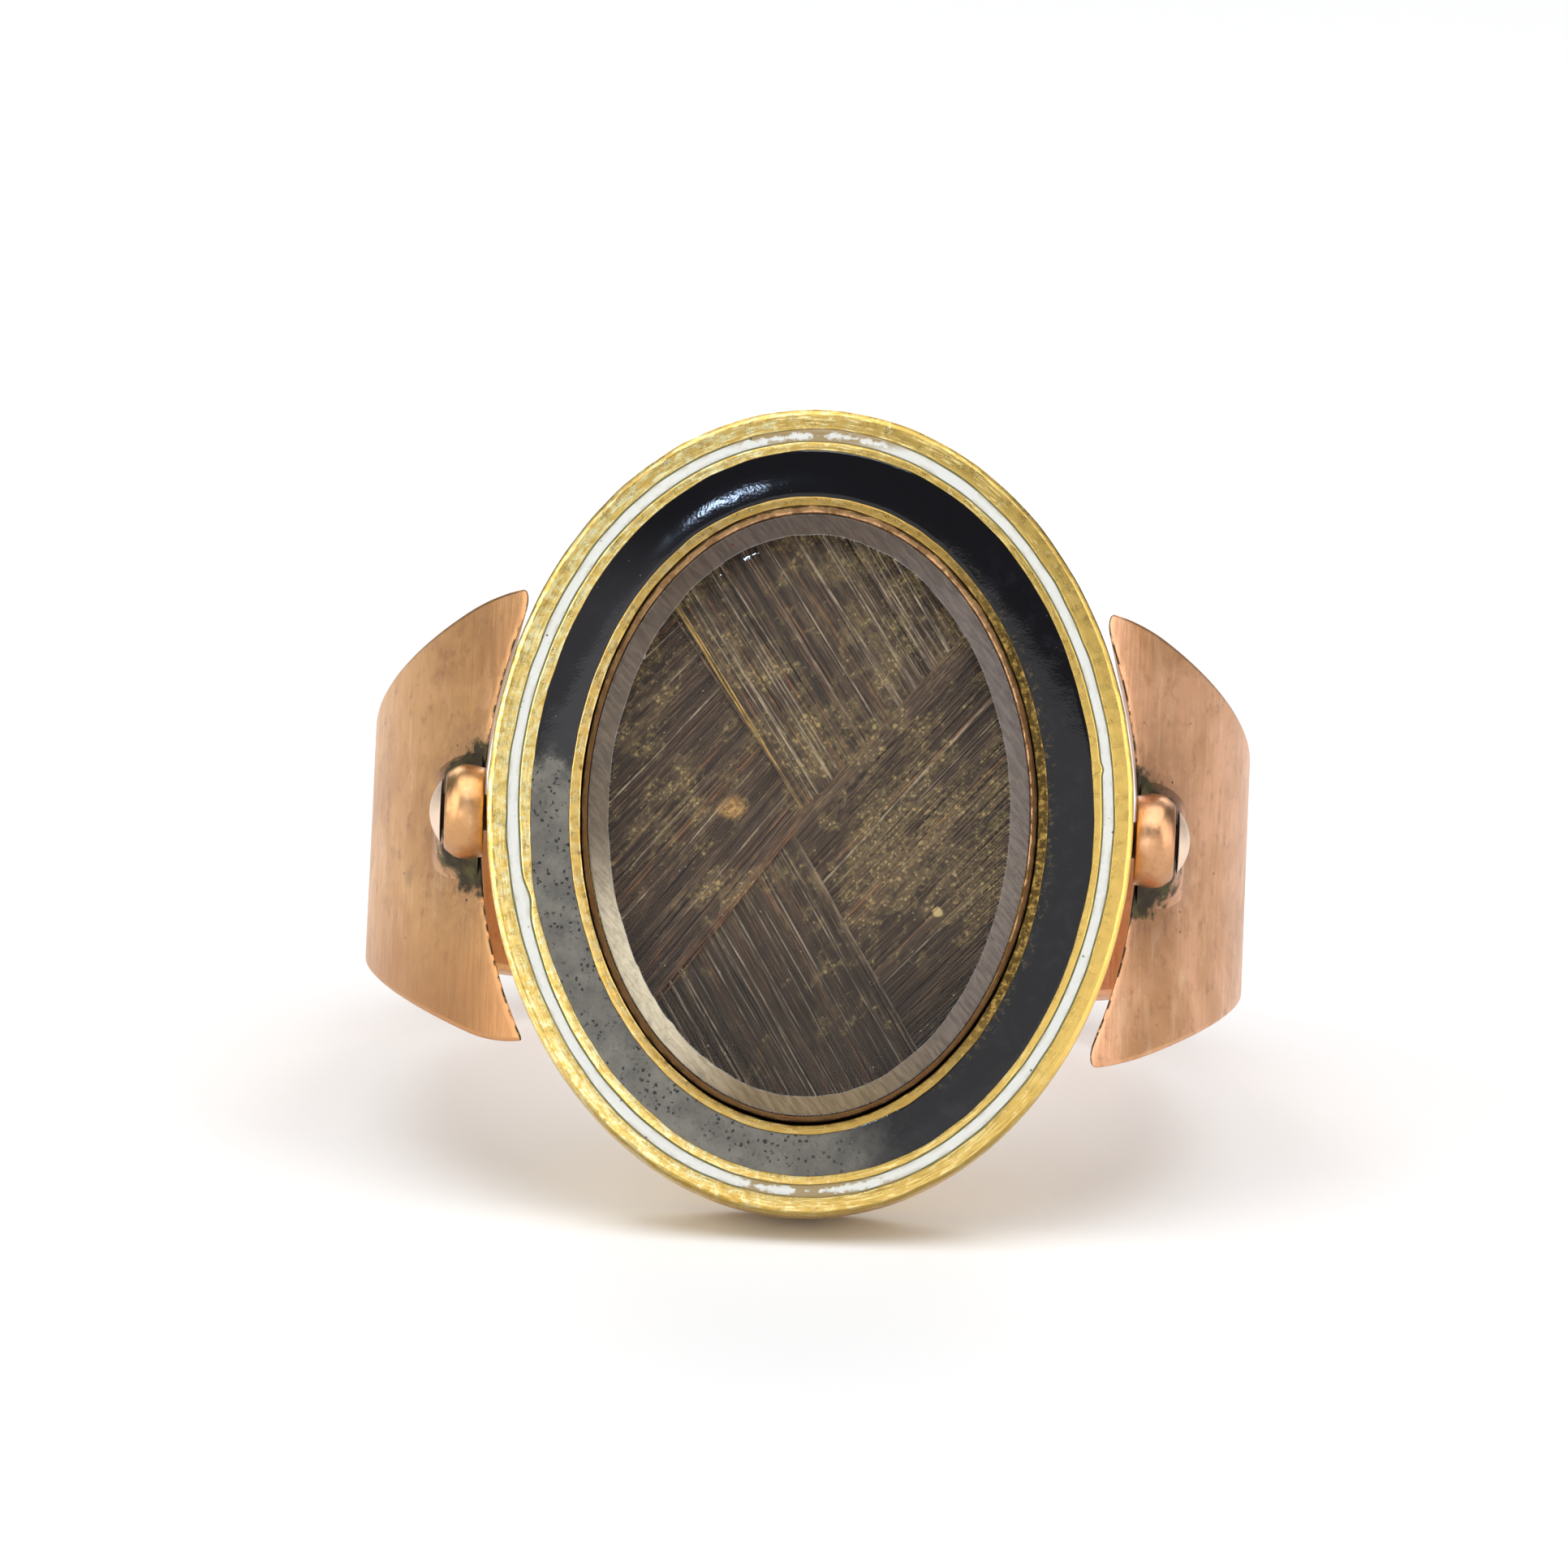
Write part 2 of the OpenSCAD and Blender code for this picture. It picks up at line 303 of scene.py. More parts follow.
def shell_volume(points, faces):
    """Six times the volume in a closed shell: each face is a fan, and each fan triangle a tetrahedron."""
    total = 0.0
    for face in faces:
        for k in range(1, face.shape[1] - 1):
            across = np.cross(points[face[:, k]], points[face[:, k + 1]])
            total += float((points[face[:, 0]] * across).sum())
    return total


def shape(points, laid, faces, sweep=None):
    """A closed shell, laid in its place, whose faces are turned round together if they point inwards."""
    if shell_volume(laid - laid.mean(0), faces) < 0:
        faces = [face[:, ::-1] for face in faces]
    fields = {"local": points / MM}
    if sweep is not None:
        fields["sweep"] = sweep
    return SimpleNamespace(points=laid, faces=faces, fields=fields)


def join(shapes):
    """Several shells as one mesh, with each shell's faces moved up by the points of those before."""
    starts = np.cumsum([0] + [len(s.points) for s in shapes])
    faces = [face + start for s, start in zip(shapes, starts) for face in s.faces]
    fields = {n: np.concatenate([s.fields[n] for s in shapes]) for n in shapes[0].fields}
    return SimpleNamespace(points=np.concatenate([s.points for s in shapes]), faces=faces, fields=fields)


def flat(values, closed):
    """A field on a grid, row by row, with the end rows' means for the caps if the rows don't close."""
    ends = [] if closed else [values[0].mean(0)[None], values[-1].mean(0)[None]]
    return np.concatenate([values.reshape(-1, 3)] + ends)


def skin(rows, closed):
    """The points and faces of rows that each close round: joined like a hoop, or with a fan over each end."""
    count, around = rows.shape[:2]
    faces = [grid_quads(count, around, closed, True)]
    if not closed:
        here = np.arange(around)
        ahead = (here + 1) % around
        last = (count - 1) * around
        faces.append(np.stack([ahead, here, np.full(around, count * around)], -1))
        faces.append(np.stack([last + here, last + ahead, np.full(around, count * around + 1)], -1))
    return flat(rows, closed), faces


def put(name, made, material, body, slot, *nodes):
    """Makes the piece, rides it on its body and lets it stand for its solids. Sharp creases stay."""
    mesh = bpy.data.meshes.new(name)
    corners = np.concatenate([face.ravel() for face in made.faces])
    counts = np.concatenate([np.full(len(face), face.shape[1]) for face in made.faces])
    starts = np.concatenate([[0], np.cumsum(counts)[:-1]])
    mesh.vertices.add(len(made.points))
    mesh.vertices.foreach_set("co", made.points.astype(np.float32).ravel())
    mesh.loops.add(len(corners))
    mesh.loops.foreach_set("vertex_index", corners.astype(np.int32))
    mesh.polygons.add(len(counts))
    mesh.polygons.foreach_set("loop_start", starts.astype(np.int32))
    mesh.polygons.foreach_set("use_smooth", np.ones(len(counts), bool))
    mesh.update(calc_edges=True)
    for field, values in made.fields.items():
        layer = mesh.attributes.new(field, "FLOAT_VECTOR", "POINT")
        layer.data.foreach_set("vector", values.astype(np.float32).ravel())
    mesh.set_sharp_from_angle(angle=math.radians(35))
    mesh.materials.append(material)
    piece = bpy.data.objects.new(name, mesh)
    bpy.context.scene.collection.objects.link(piece)
    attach(piece, body)
    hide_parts(*nodes)


def rounded(corners, steps=3, closed=False):
    """An outline whose corners are rounded by a parabola between two points, one radius from the corner."""
    corners = np.asarray(corners, float)
    rows = []
    for i, (across, height, radius) in enumerate(corners):
        if not closed and i in (0, len(corners) - 1):
            rows.append([[across, height]])
            continue
        here = corners[i, :2]
        before = corners[i - 1, :2] - here
        after = corners[(i + 1) % len(corners), :2] - here
        reach = min(radius, 0.48 * np.linalg.norm(before), 0.48 * np.linalg.norm(after))
        start = here + before / np.linalg.norm(before) * reach
        end = here + after / np.linalg.norm(after) * reach
        t = np.linspace(0, 1, steps + 1)[:, None]
        rows.append((1 - t) ** 2 * start + 2 * t * (1 - t) * here + t**2 * end)
    return np.concatenate(rows)


def divided(outline, longest, closed=False):
    """An outline with points added along its longer stretches, so that none is longer than a length."""
    following = np.roll(outline, -1, 0) if closed else outline[1:]
    rows = []
    for here, there in zip(outline, following):
        count = max(1, math.ceil(np.linalg.norm(there - here) / longest))
        rows.append(here + (there - here) * np.arange(count)[:, None] / count)
    if not closed:
        rows.append(outline[-1:])
    return np.concatenate(rows)


def wave(turn, seed, height, coarsest=3, finest=60):
    """A wobbly closed line: sines of whole frequencies with seeded phases, weaker as they get finer."""
    draw = np.random.default_rng(seed)
    k = np.arange(coarsest, finest)[:, None]
    strength = draw.normal(0, 1, k.shape) / k**0.6
    line = (strength * np.sin(k * turn + draw.uniform(0, 2 * math.pi, k.shape))).sum(0)
    return height * line / np.abs(line).max()


def bump_at(turn, degrees, width, height):
    """A single smooth swell of a closed line, centred on one direction."""
    off = (np.degrees(turn) - degrees + 180) % 360 - 180
    return height * np.exp(-((off / width) ** 2))


# The head's borders from its edge inwards, and single swells of theirs: a border, a direction and a width in
# degrees, and how far inwards it swells in millimetres. The gold line has a notch at its right and a pinch at
# its lower left, and the crystal's table is chipped.
BORDERS = ("edge", "white", "line", "black", "inner", "well", "collet", "glass", "table")
SWELLS = [
    ("line", 7.5, 0.7, -0.05),
    ("line", 194.5, 2.4, 0.10),
    ("line", 200, 9, 0.035),
    ("line", 183, 5, 0.03),
    ("black", 196, 6.0, -0.04),
    ("well", 185, 34, 0.035),
    ("collet", 218, 36, -0.035),
    ("collet", 180, 30, 0.035),
]
SWELLS += [("table", at, 1.1, chip) for at, chip in ((214, 0.02), (222, 0.015), (229, 0.025))]
SWELLS += [("table", at, 1.1, chip) for at, chip in ((241, 0.02), (118, 0.02), (75, 0.02))]


def borders(p, crystal):
    """Where each border of the head runs: its inset, how far left and low its oval sits, and its wobble."""
    return np.array([
        (0.0, 0.0, 0.0, 0.014 * MM),
        (p.white_in, 0.0, 0.035 * MM, 0.022 * MM),
        (p.line_in, 0.0, 0.035 * MM, 0.020 * MM),
        (p.black_in, -0.04 * MM, 0.040 * MM, 0.024 * MM),
        (p.inner_in, 0.04 * MM, 0.100 * MM, 0.024 * MM),
        (p.well_in, 0.04 * MM, 0.100 * MM, 0.016 * MM),
        (p.collet_in, crystal.left, 0.062 * MM, 0.018 * MM),
        (p.glass_in, crystal.left, crystal.low, 0.006 * MM),
        (p.table_in, crystal.left, crystal.low + 0.04 * MM, 0.022 * MM),
    ]).T


def stray_lines(wobbles):
    """How far each border strays inwards as it goes round: its wobble, its swells and its flatter ends."""
    lines = np.array([wave(TURN, seed, wobble) for seed, wobble in enumerate(wobbles, 1)])
    for border, at, width, height in SWELLS:
        lines[BORDERS.index(border)] += bump_at(TURN, at, width, height * MM)
    ends = np.sin(TURN) ** 2
    lines[BORDERS.index("edge")] -= 0.02 * MM * ends * (np.sin(TURN) < 0)
    lines[BORDERS.index("white")] -= 0.02 * MM * ends
    lines[BORDERS.index("black")] -= 0.03 * MM * ends
    return lines


def sweep_oval(corners, steps, longest, ring, p, closed=False, fall=1.0):
    """Carries an outline of (inset, height, rounding) round the head's oval: its points and their sweep.

    A point is ((a - i) cos t - left, (b - i) sin t - low, height), where the inset i strays with the
    borders, left and low run between theirs, and the face falls towards the head's edge. Its sweep is the
    inset without straying, in millimetres, with cos t and sin t.
    """
    nominal, height = divided(rounded(corners, steps, closed), longest, closed).T[..., None]
    insets, lefts, lows, wobbles = borders(p, ring.crystal)
    lines = stray_lines(wobbles)
    place = np.interp(nominal, insets, np.arange(len(insets)))
    below = np.minimum(place.astype(int), len(insets) - 2)
    share = place - below
    stray = lines[below[:, 0]] * (1 - share) + lines[below[:, 0] + 1] * share
    front = np.clip((height - (p.face_z - ring.head.plate)) / ring.head.plate, 0, 1)
    inset = nominal + stray * (0.25 + 0.75 * front)
    lower = ring.head.fall * fall * (np.clip(nominal / p.well_in, 0, 1) - 0.6) * front
    x = (p.a - inset) * np.cos(TURN) - np.interp(nominal, insets, lefts)
    y = (p.b - inset) * np.sin(TURN) - np.interp(nominal, insets, lows)
    rows = np.stack(np.broadcast_arrays(x, y, height + lower), -1)
    return rows, np.stack(np.broadcast_arrays(nominal / MM, np.cos(TURN), np.sin(TURN)), -1)


def head_shape(rows, sweep, ring, closed=False):
    """A swept outline as a shell: closed like a hoop, or capped at both ends."""
    points, faces = skin(rows, closed)
    return shape(points, lay_head(points, ring), faces, flat(sweep, closed))


# Colours of wear and dirt, and of painted light, shade and reflection, which follow from the piece's own
# tones and are not settings.
WEAR_AND_LIGHT = SimpleNamespace(
    rose_mottle=(0.34, 0.155, 0.08),
    rose_rubbed=(0.92, 0.62, 0.38),
    # Painted shade at the left shoulder's upper tip.
    rose_tip_shade=(0.33, 0.17, 0.085),
    rose_smudge=(0.24, 0.12, 0.05),
    rose_cloud=(0.20, 0.10, 0.075),
    # Painted shade under the knuckles.
    rose_under_shade=(0.46, 0.24, 0.115),
    rose_speck=(0.07, 0.045, 0.03),
    verdigris=(0.085, 0.088, 0.040),
    # The next six: painted shade and painted highlights in the rims' tool marks.
    amber=(0.64, 0.36, 0.075),
    bright=(1.0, 0.80, 0.33),
    bright_pale=(1.0, 0.90, 0.48),
    hollow=(0.68, 0.39, 0.065),
    gleam=(1.0, 0.95, 0.58),
    filed_highlight=(1.0, 0.88, 0.52),
    # The next two: painted shade on the lower chamfer and along the chamfer's crease.
    low_edge_shade=(0.22, 0.15, 0.04),
    step=(0.36, 0.22, 0.04),
    inner_rim=(0.66, 0.38, 0.09),
    inner_ends=(0.36, 0.23, 0.06),
    rust=(0.24, 0.13, 0.035),
    crust=(0.115, 0.07, 0.022),
    # Painted shade on the case's outer side wall.
    side_wall_shade=(0.36, 0.23, 0.065),
    grey_white=(0.60, 0.61, 0.59),
    white_border=(0.11, 0.12, 0.05),
    white_soil=(0.33, 0.28, 0.16),
    brown_stain=(0.27, 0.185, 0.065),
    white_pit=(0.08, 0.06, 0.04),
    bloom_and_reflection=(0.06, 0.06, 0.08),
    # The next two: a mottled bloom on the black enamel, partly painted reflection, and a grey towards its
    # lower left.
    lower_left_grey=(0.048, 0.045, 0.048),
    black_pit=(0.012, 0.012, 0.013),
    black_grain=(0.045, 0.045, 0.045),
    pale_dust=(0.45, 0.43, 0.38),
    olive_dust=(0.16, 0.115, 0.045),
    collet_top=(0.38, 0.225, 0.10),
    collet_rust=(0.13, 0.05, 0.02),
    # The next three: the collet's bright line is painted highlight, its dark outer edge and its wall painted
    # shade.
    collet_line=(0.70, 0.40, 0.21),
    collet_gap_shade=(0.035, 0.02, 0.010),
    collet_wall=(0.05, 0.027, 0.014),
    pin=(0.96, 0.79, 0.64),
    pin_warm=(0.88, 0.66, 0.50),
    # Painted shade in the gap behind the rivets.
    gap_shade=(0.05, 0.03, 0.02),
    # The next four: painted reflection on the crystal's bevel.
    bevel_low=(0.40, 0.30, 0.18),
    bevel_high=(0.135, 0.10, 0.08),
    bevel_left=(0.19, 0.15, 0.12),
    bevel_cream=(0.66, 0.58, 0.42),
    bevel_spot=(0.16, 0.05, 0.02),
    hair_warm=(0.095, 0.062, 0.038),
    hair_grey=(0.12, 0.088, 0.058),
    hair_golden=(0.42, 0.27, 0.07),
    hair_veil=(0.17, 0.13, 0.06),
    hair_speck=(0.42, 0.38, 0.30),
    orange_spot=(0.46, 0.28, 0.09),
    beige_spot=(0.36, 0.29, 0.13),
)


class Finish:
    """A material in the making: its methods add nodes and give back the output that the next one reads.

    place is where a point lies in its piece's frame and sweep what the mesh tells of it, and colour is the
    colour so far. A share is how much of a layer shows, from zero to one.
    """

    def __init__(self, name, **sockets):
        self.material = bpy.data.materials.new(name)
        self.material.use_nodes = True
        self.tree = self.material.node_tree
        self.shader = self.tree.nodes["Principled BSDF"]
        self.colour = None
        self.dress(**sockets)

    @cached_property
    def place(self):
        return self.field("local")

    @cached_property
    def sweep(self):
        return self.field("sweep")

    def set(self, node, inputs):
        for key, value in inputs.items():
            socket = node.inputs[key]
            if isinstance(value, bpy.types.NodeSocket):
                self.tree.links.new(value, socket)
            else:
                socket.default_value = value

    def add(self, kind, inputs=None, **settings):
        node = self.tree.nodes.new(kind)
        for key, value in settings.items():
            setattr(node, key, value)
        self.set(node, inputs or {})
        return node

    def field(self, name):
        """A field of the mesh, in millimetres where it is a place."""
        return self.add("ShaderNodeAttribute", attribute_name=name).outputs["Vector"]

    def parts(self, vector):
        """The three parts of a vector."""
        return tuple(self.add("ShaderNodeSeparateXYZ", {0: vector}).outputs)

    def vector(self, kind, first, second=(0, 0, 0)):
        inputs = {0: first, 1: second}
        node = self.add("ShaderNodeVectorMath", inputs, operation=kind)
        return node.outputs["Value" if kind == "DISTANCE" else "Vector"]

    def slanted(self, angle, along, across):
        """Places turned about the height and stretched, so that a pattern runs at an angle."""
        inputs = {"Vector": self.place, "Rotation": (0, 0, angle), "Scale": (1 / along, 1 / across, 1)}
        return self.add("ShaderNodeMapping", inputs, vector_type="TEXTURE").outputs[0]

    def noise(self, scale, detail=3.0, rough=0.55, warp=0.0, at=None):
        """Cloudy noise of so many waves a millimetre, at the point's place or at another vector."""
        vector = self.place if at is None else at
        inputs = {"Vector": vector, "Scale": scale, "Detail": detail, "Roughness": rough, "Distortion": warp}
        return self.add("ShaderNodeTexNoise", inputs).outputs[0]

    def cells(self, scale):
        """The distance from the middle of scattered cells, so many a millimetre."""
        return self.add("ShaderNodeTexVoronoi", {"Vector": self.place, "Scale": scale}).outputs["Distance"]

    def grains(self, scale, smallest, largest):
        """Grains of uneven size and strength, one in each cell, with radii as shares of the cell."""
        cell = self.add("ShaderNodeTexVoronoi", {"Vector": self.place, "Scale": scale})
        lot = self.parts(cell.outputs["Color"])[0]
        radius = self.ease(lot, 0.25, 1.0, smallest, largest)
        ragged = self.ease(self.noise(scale * 1.7, 2), 0.3, 0.7, -0.08, 0.08)
        away = self.minus(self.plus(cell.outputs["Distance"], ragged), radius)
        return self.times(self.ease(away, 0.12, -0.06), self.ease(lot, 0.15, 1.0, 0.2, 1.0))

    def sums(self, kind, first, *others):
        """The values worked together one after another."""
        for other in others:
            first = self.add("ShaderNodeMath", {0: first, 1: other}, operation=kind).outputs[0]
        return first

    def times(self, *values):
        return self.sums("MULTIPLY", *values)

    def plus(self, *values):
        return self.sums("ADD", *values)

    def minus(self, first, second):
        return self.sums("SUBTRACT", first, second)

    def unsigned(self, value):
        return self.add("ShaderNodeMath", {0: value}, operation="ABSOLUTE").outputs[0]

    def ease(self, value, start, end, to_start=0.0, to_end=1.0):
        """A value eased from one range to another."""
        inputs = {"Value": value, "From Min": start, "From Max": end, "To Min": to_start, "To Max": to_end}
        return self.add("ShaderNodeMapRange", inputs, interpolation_type="SMOOTHSTEP").outputs[0]

    def near(self, vector, point, outer, inner):
        """One inside the inner distance from a point and nothing past the outer."""
        return self.ease(self.vector("DISTANCE", vector, point), outer, inner)

    def blend(self, share, first, second):
        """The second colour over the first, by a share."""
        node = self.add("ShaderNodeMix", data_type="RGBA")
        self.set(node, {0: share, 6: rgba(first), 7: rgba(second)})
        return node.outputs[2]

    def lay(self, tone, *shares):
        """Lays a tone over the colour so far, by the product of its shares."""
        self.colour = self.blend(self.times(*shares), self.colour, tone)

    def ramp(self, value, stops):
        """Colours at places from zero to one."""
        node = self.add("ShaderNodeValToRGB", {0: value})
        parts = node.color_ramp.elements
        while len(parts) < len(stops):
            parts.new(0.5)
        for part, (place, colour) in zip(parts, stops):
            part.position = place
            part.color = rgba(colour)
        return node.outputs[0]

    def relief(self, *layers):
        """Bumps over one another, the broadest first, each a height and its depth in millimetres."""
        normal = None
        for height, depth in layers:
            inputs = {"Height": height, "Distance": depth * MM, "Strength": 1.0}
            if normal is not None:
                inputs["Normal"] = normal
            normal = self.add("ShaderNodeBump", inputs).outputs[0]
        return normal

    def dress(self, **sockets):
        """Sets the shader's sockets, and its colour where layers have been laid."""
        if self.colour is not None:
            sockets["Base_Color"] = self.colour
        self.set(self.shader, {key.replace("_", " "): value for key, value in sockets.items()})
        return self.material


def rgba(colour):
    """A colour or a grey with its alpha, or a socket as it is."""
    if isinstance(colour, bpy.types.NodeSocket):
        return colour
    if isinstance(colour, (int, float)):
        return (colour, colour, colour, 1.0)
    return (*tuple(colour)[:3], 1.0)


def rose_gold(ring, p):
    """Satin rose gold: fine streaks across the band, browner patches, specks and tarnish at the knuckles,
    with painted shade towards the left shoulder's lower part and upper tip and under the knuckles.

    The sweep holds the distance from a shoulder's end, the outer side and the knuckles' barrels.
    """
    tones = ring.tones
    f = Finish("rose_gold", Metallic=1.0)
    x, y, z = f.parts(f.place)
    end, outer, barrel = f.parts(f.sweep)
    streaks = f.noise(1.0, 5, 0.6, at=f.vector("MULTIPLY", f.place, (9, 9, 0.7)))
    rubbed = f.noise(1.0, 4, 0.65, 0.5, f.vector("MULTIPLY", f.place, (1.6, 1.6, 0.5)))
    ragged = f.noise(1.6, 4, 0.65)
    f.colour = f.blend(f.ease(x, -3.0, 3.0), tones.rose, tones.rose_pink)
    f.lay(tones.rose_dark_and_shade, f.ease(f.noise(0.42, 4, 0.6, 0.4), 0.38, 0.68, 0, 0.75))
    f.lay(tones.rose_dark_and_shade, f.ease(streaks, 0.45, 0.8, 0, 0.3))
    f.lay(WEAR_AND_LIGHT.rose_mottle, f.ease(f.noise(2.2, 5, 0.72), 0.50, 0.70, 0, 0.45))
    f.lay(WEAR_AND_LIGHT.rose_rubbed, f.ease(rubbed, 0.54, 0.72, 0, 0.4))
    # Painted shade: the left shoulder darker towards its lower part and its upper tip.
    f.lay(tones.rose_dark_and_shade, f.ease(z, -1.2, -4.6), f.ease(x, 1.0, -4.0))
    f.lay(WEAR_AND_LIGHT.rose_tip_shade, f.near(f.place, (-6.6, -7.5, 4.4), 2.4, 0.7), 0.45)
    f.lay(WEAR_AND_LIGHT.rose_smudge, f.near(f.place, (-8.75, -4.4, -1.2), 0.42, 0.12), 0.6)

    # Both halves fold onto one corner, so that each knuckle gets the same tarnish above and below.
    folded = f.vector("MULTIPLY", f.vector("ABSOLUTE", f.place), (1, -1, 1))
    knuckle = ((p.knuckle_x + 0.25 * MM) / MM, -p.pivot_out / MM, 0.0)
    plain = f.times(f.minus(1.0, barrel), outer, f.ease(y, 0.0, -2.0))
    f.lay(WEAR_AND_LIGHT.rose_cloud, f.near(folded, knuckle, 3.6, 1.2), f.ease(ragged, 0.30, 0.58), plain, 0.5)
    narrow, tall = 1.9, 0.5
    seam = (narrow * (p.knuckle_x + 0.12 * MM) / MM, tall * p.pivot_out / MM, 0.0)
    away = f.vector("DISTANCE", f.vector("MULTIPLY", folded, (narrow, -tall, 1.0)), seam)
    edge = f.plus(away, f.ease(ragged, 0.3, 0.7, -0.25, 0.25))
    stain = f.times(f.ease(edge, 1.85, 1.55), plain)
    green = f.blend(f.ease(f.noise(2.2, 4, 0.6), 0.42, 0.66), tones.tarnish, WEAR_AND_LIGHT.verdigris)
    f.lay(green, stain, 0.93)

    f.lay(WEAR_AND_LIGHT.rose_speck, f.ease(f.cells(2.6), 0.10, 0.05), f.ease(f.noise(0.9, 2), 0.5, 0.62))
    end_line = f.ramp(end, [(0.0, 0.25), (0.02, 1.0), (0.05, 1.0), (0.09, 0.0)])
    f.lay(tones.dirt, end_line, f.ease(f.noise(4, 3), 0.40, 0.56))
    # Painted shade on the knuckles' undersides.
    f.lay(WEAR_AND_LIGHT.rose_under_shade, barrel, f.ease(z, 0.2, -0.9, 0, 0.5))
    rough = f.plus(f.ease(streaks, 0.2, 0.8, 0.30, 0.44), f.times(stain, 0.25), f.times(barrel, -0.03))
    relief = f.relief((f.noise(0.8, 2, 0.5), 0.025), (streaks, 0.006), (f.noise(14, 4, 0.7), 0.0025))
    return f.dress(Roughness=rough, Normal=relief)


def case_gold(ring, p, name):
    """Hand-worked yellow gold: hammered flats, tool marks along the rims and dirt against the enamel, with
    painted
    light and shade: a paler left side, a darker top, bottom and upper right, bright and dark tool marks, and
    shade on the lower chamfer, the chamfer's crease, the side wall and the well's wall.

    The sweep holds the inset from the head's edge, in millimetres, and how far a point lies right and up.
    """
    tones = ring.tones
    f = Finish(name, Metallic=1.0)
    z = f.parts(f.place)[2]
    inset, east, north = f.parts(f.sweep)
    face, inner_in = p.face_z / MM, p.inner_in / MM
    front = f.ease(z, face - 0.9, face - 0.6)
    top = f.ease(z, face - 0.22, face - 0.12)
    leftward = f.ease(east, 0.35, -0.35)
    corner = f.plus(f.times(east, 0.62), f.times(north, 0.78))
    # worked is where the tool marks carry painted highlight and shade: weak at the right side and below the
    # face.
    worked = f.times(f.ease(east, 0.95, 0.55, 0.12, 1.0), f.ease(top, 0.0, 1.0, 0.3, 1.0))
    lit = f.times(leftward, worked)
    patches = f.noise(1.3, 4, 0.6, 0.5)
    lumps = f.noise(5.5, 4, 0.65)
    drawn = f.noise(1.0, 4, 0.65, at=f.vector("MULTIPLY", f.sweep, (24, 15, 15)))
    filed_highlight = f.noise(1.0, 3, 0.6, at=f.vector("MULTIPLY", f.sweep, (4, 62, 62)))

    # The rims are painted paler towards the left: painted light.
    f.colour = f.blend(f.ease(east, 0.2, -0.6), tones.gold, tones.gold_lit)
    # Painted shade: the rims darker towards the top, the bottom and the upper right.
    f.lay(tones.gold_shaded, f.ease(north, 0.45, 0.92, 0, 0.35))
    f.lay(tones.gold_shaded, f.ease(north, -0.45, -0.95, 0, 0.28))
    f.lay(tones.gold_shaded, f.ease(corner, 0.70, 0.95, 0, 0.50))
    # The tool-mark streaks, hammered lumps and file marks are painted dark and bright: painted shade and
    # painted highlights, brightest at the left.
    f.lay(f.blend(leftward, tones.gold_shaded, WEAR_AND_LIGHT.amber), f.ease(drawn, 0.47, 0.34, 0, 0.7), worked)
    shining = f.plus(f.ease(patches, 0.40, 0.56), f.times(leftward, 0.35))
    f.lay(f.blend(leftward, WEAR_AND_LIGHT.bright, WEAR_AND_LIGHT.bright_pale), f.ease(drawn, 0.49, 0.60), shining, worked)
    f.lay(WEAR_AND_LIGHT.hollow, f.ease(lumps, 0.47, 0.38, 0, 0.5), lit)
    f.lay(WEAR_AND_LIGHT.gleam, f.ease(lumps, 0.53, 0.62, 0, 0.6), lit)
    f.lay(WEAR_AND_LIGHT.filed_highlight, f.ease(filed_highlight, 0.58, 0.70, 0, 0.5), f.ease(patches, 0.56, 0.44), worked)
    # Painted shade on the lower outer chamfer.
    f.lay(WEAR_AND_LIGHT.low_edge_shade, f.ease(inset, 0.12, 0.07), f.ease(north, -0.55, -0.85, 0, 0.8), top)
    # A dark line along the chamfer's crease at the left: painted shade.
    step = f.ramp(inset, [(0.09, 0.0), (0.115, 1.0), (0.125, 1.0), (0.16, 0.0)])
    f.lay(WEAR_AND_LIGHT.step, step, leftward, top, f.ease(f.noise(2.4, 4, 0.6), 0.42, 0.56, 0, 0.8))

    inner = f.times(f.ease(inset, inner_in - 0.12, inner_in - 0.02), front)
    f.lay(WEAR_AND_LIGHT.inner_rim, inner, 0.45)
    f.lay(WEAR_AND_LIGHT.inner_ends, inner, f.ease(f.unsigned(north), 0.5, 0.9, 0, 0.6))
    rusty = f.ease(f.noise(3.0, 4, 0.65), 0.50, 0.66, 0, 0.8)
    f.lay(WEAR_AND_LIGHT.rust, rusty, f.ease(inset, inner_in + 0.05, inner_in + 0.2), front)

    # Dark lines of dirt follow the enamel's borders, and the well's wall is painted dark from its edge down,
    # which is painted shade in the recess.
    soft, thin, reach = 0.020 * MM, 0.008 * MM, 2.6 * MM
    line = ((-soft, 0.0), (-thin, 1.0), (thin, 1.0), (soft, 0.0))
    edges = (p.white_in, p.line_in, p.black_in, p.inner_in)
    stops = [(0.0, 0.0)] + [((border + off) / reach, dark) for border in edges for off, dark in line]
    stops += [((p.well_in - 0.02 * MM) / reach, 0.0), ((p.well_in + 0.01 * MM) / reach, 1.0)]
    lines = f.ramp(f.sums("DIVIDE", inset, reach / MM), stops)
    grime_and_well_shade = f.times(lines, f.ease(f.noise(3, 3), 0.25, 0.5, 0.5, 1.0), front)
    f.lay(tones.dirt, grime_and_well_shade)
    f.lay(WEAR_AND_LIGHT.crust, inner, f.ease(east, 0.45, 0.85), f.ease(f.noise(7.0, 4, 0.75), 0.34, 0.54, 0.3, 1.0))
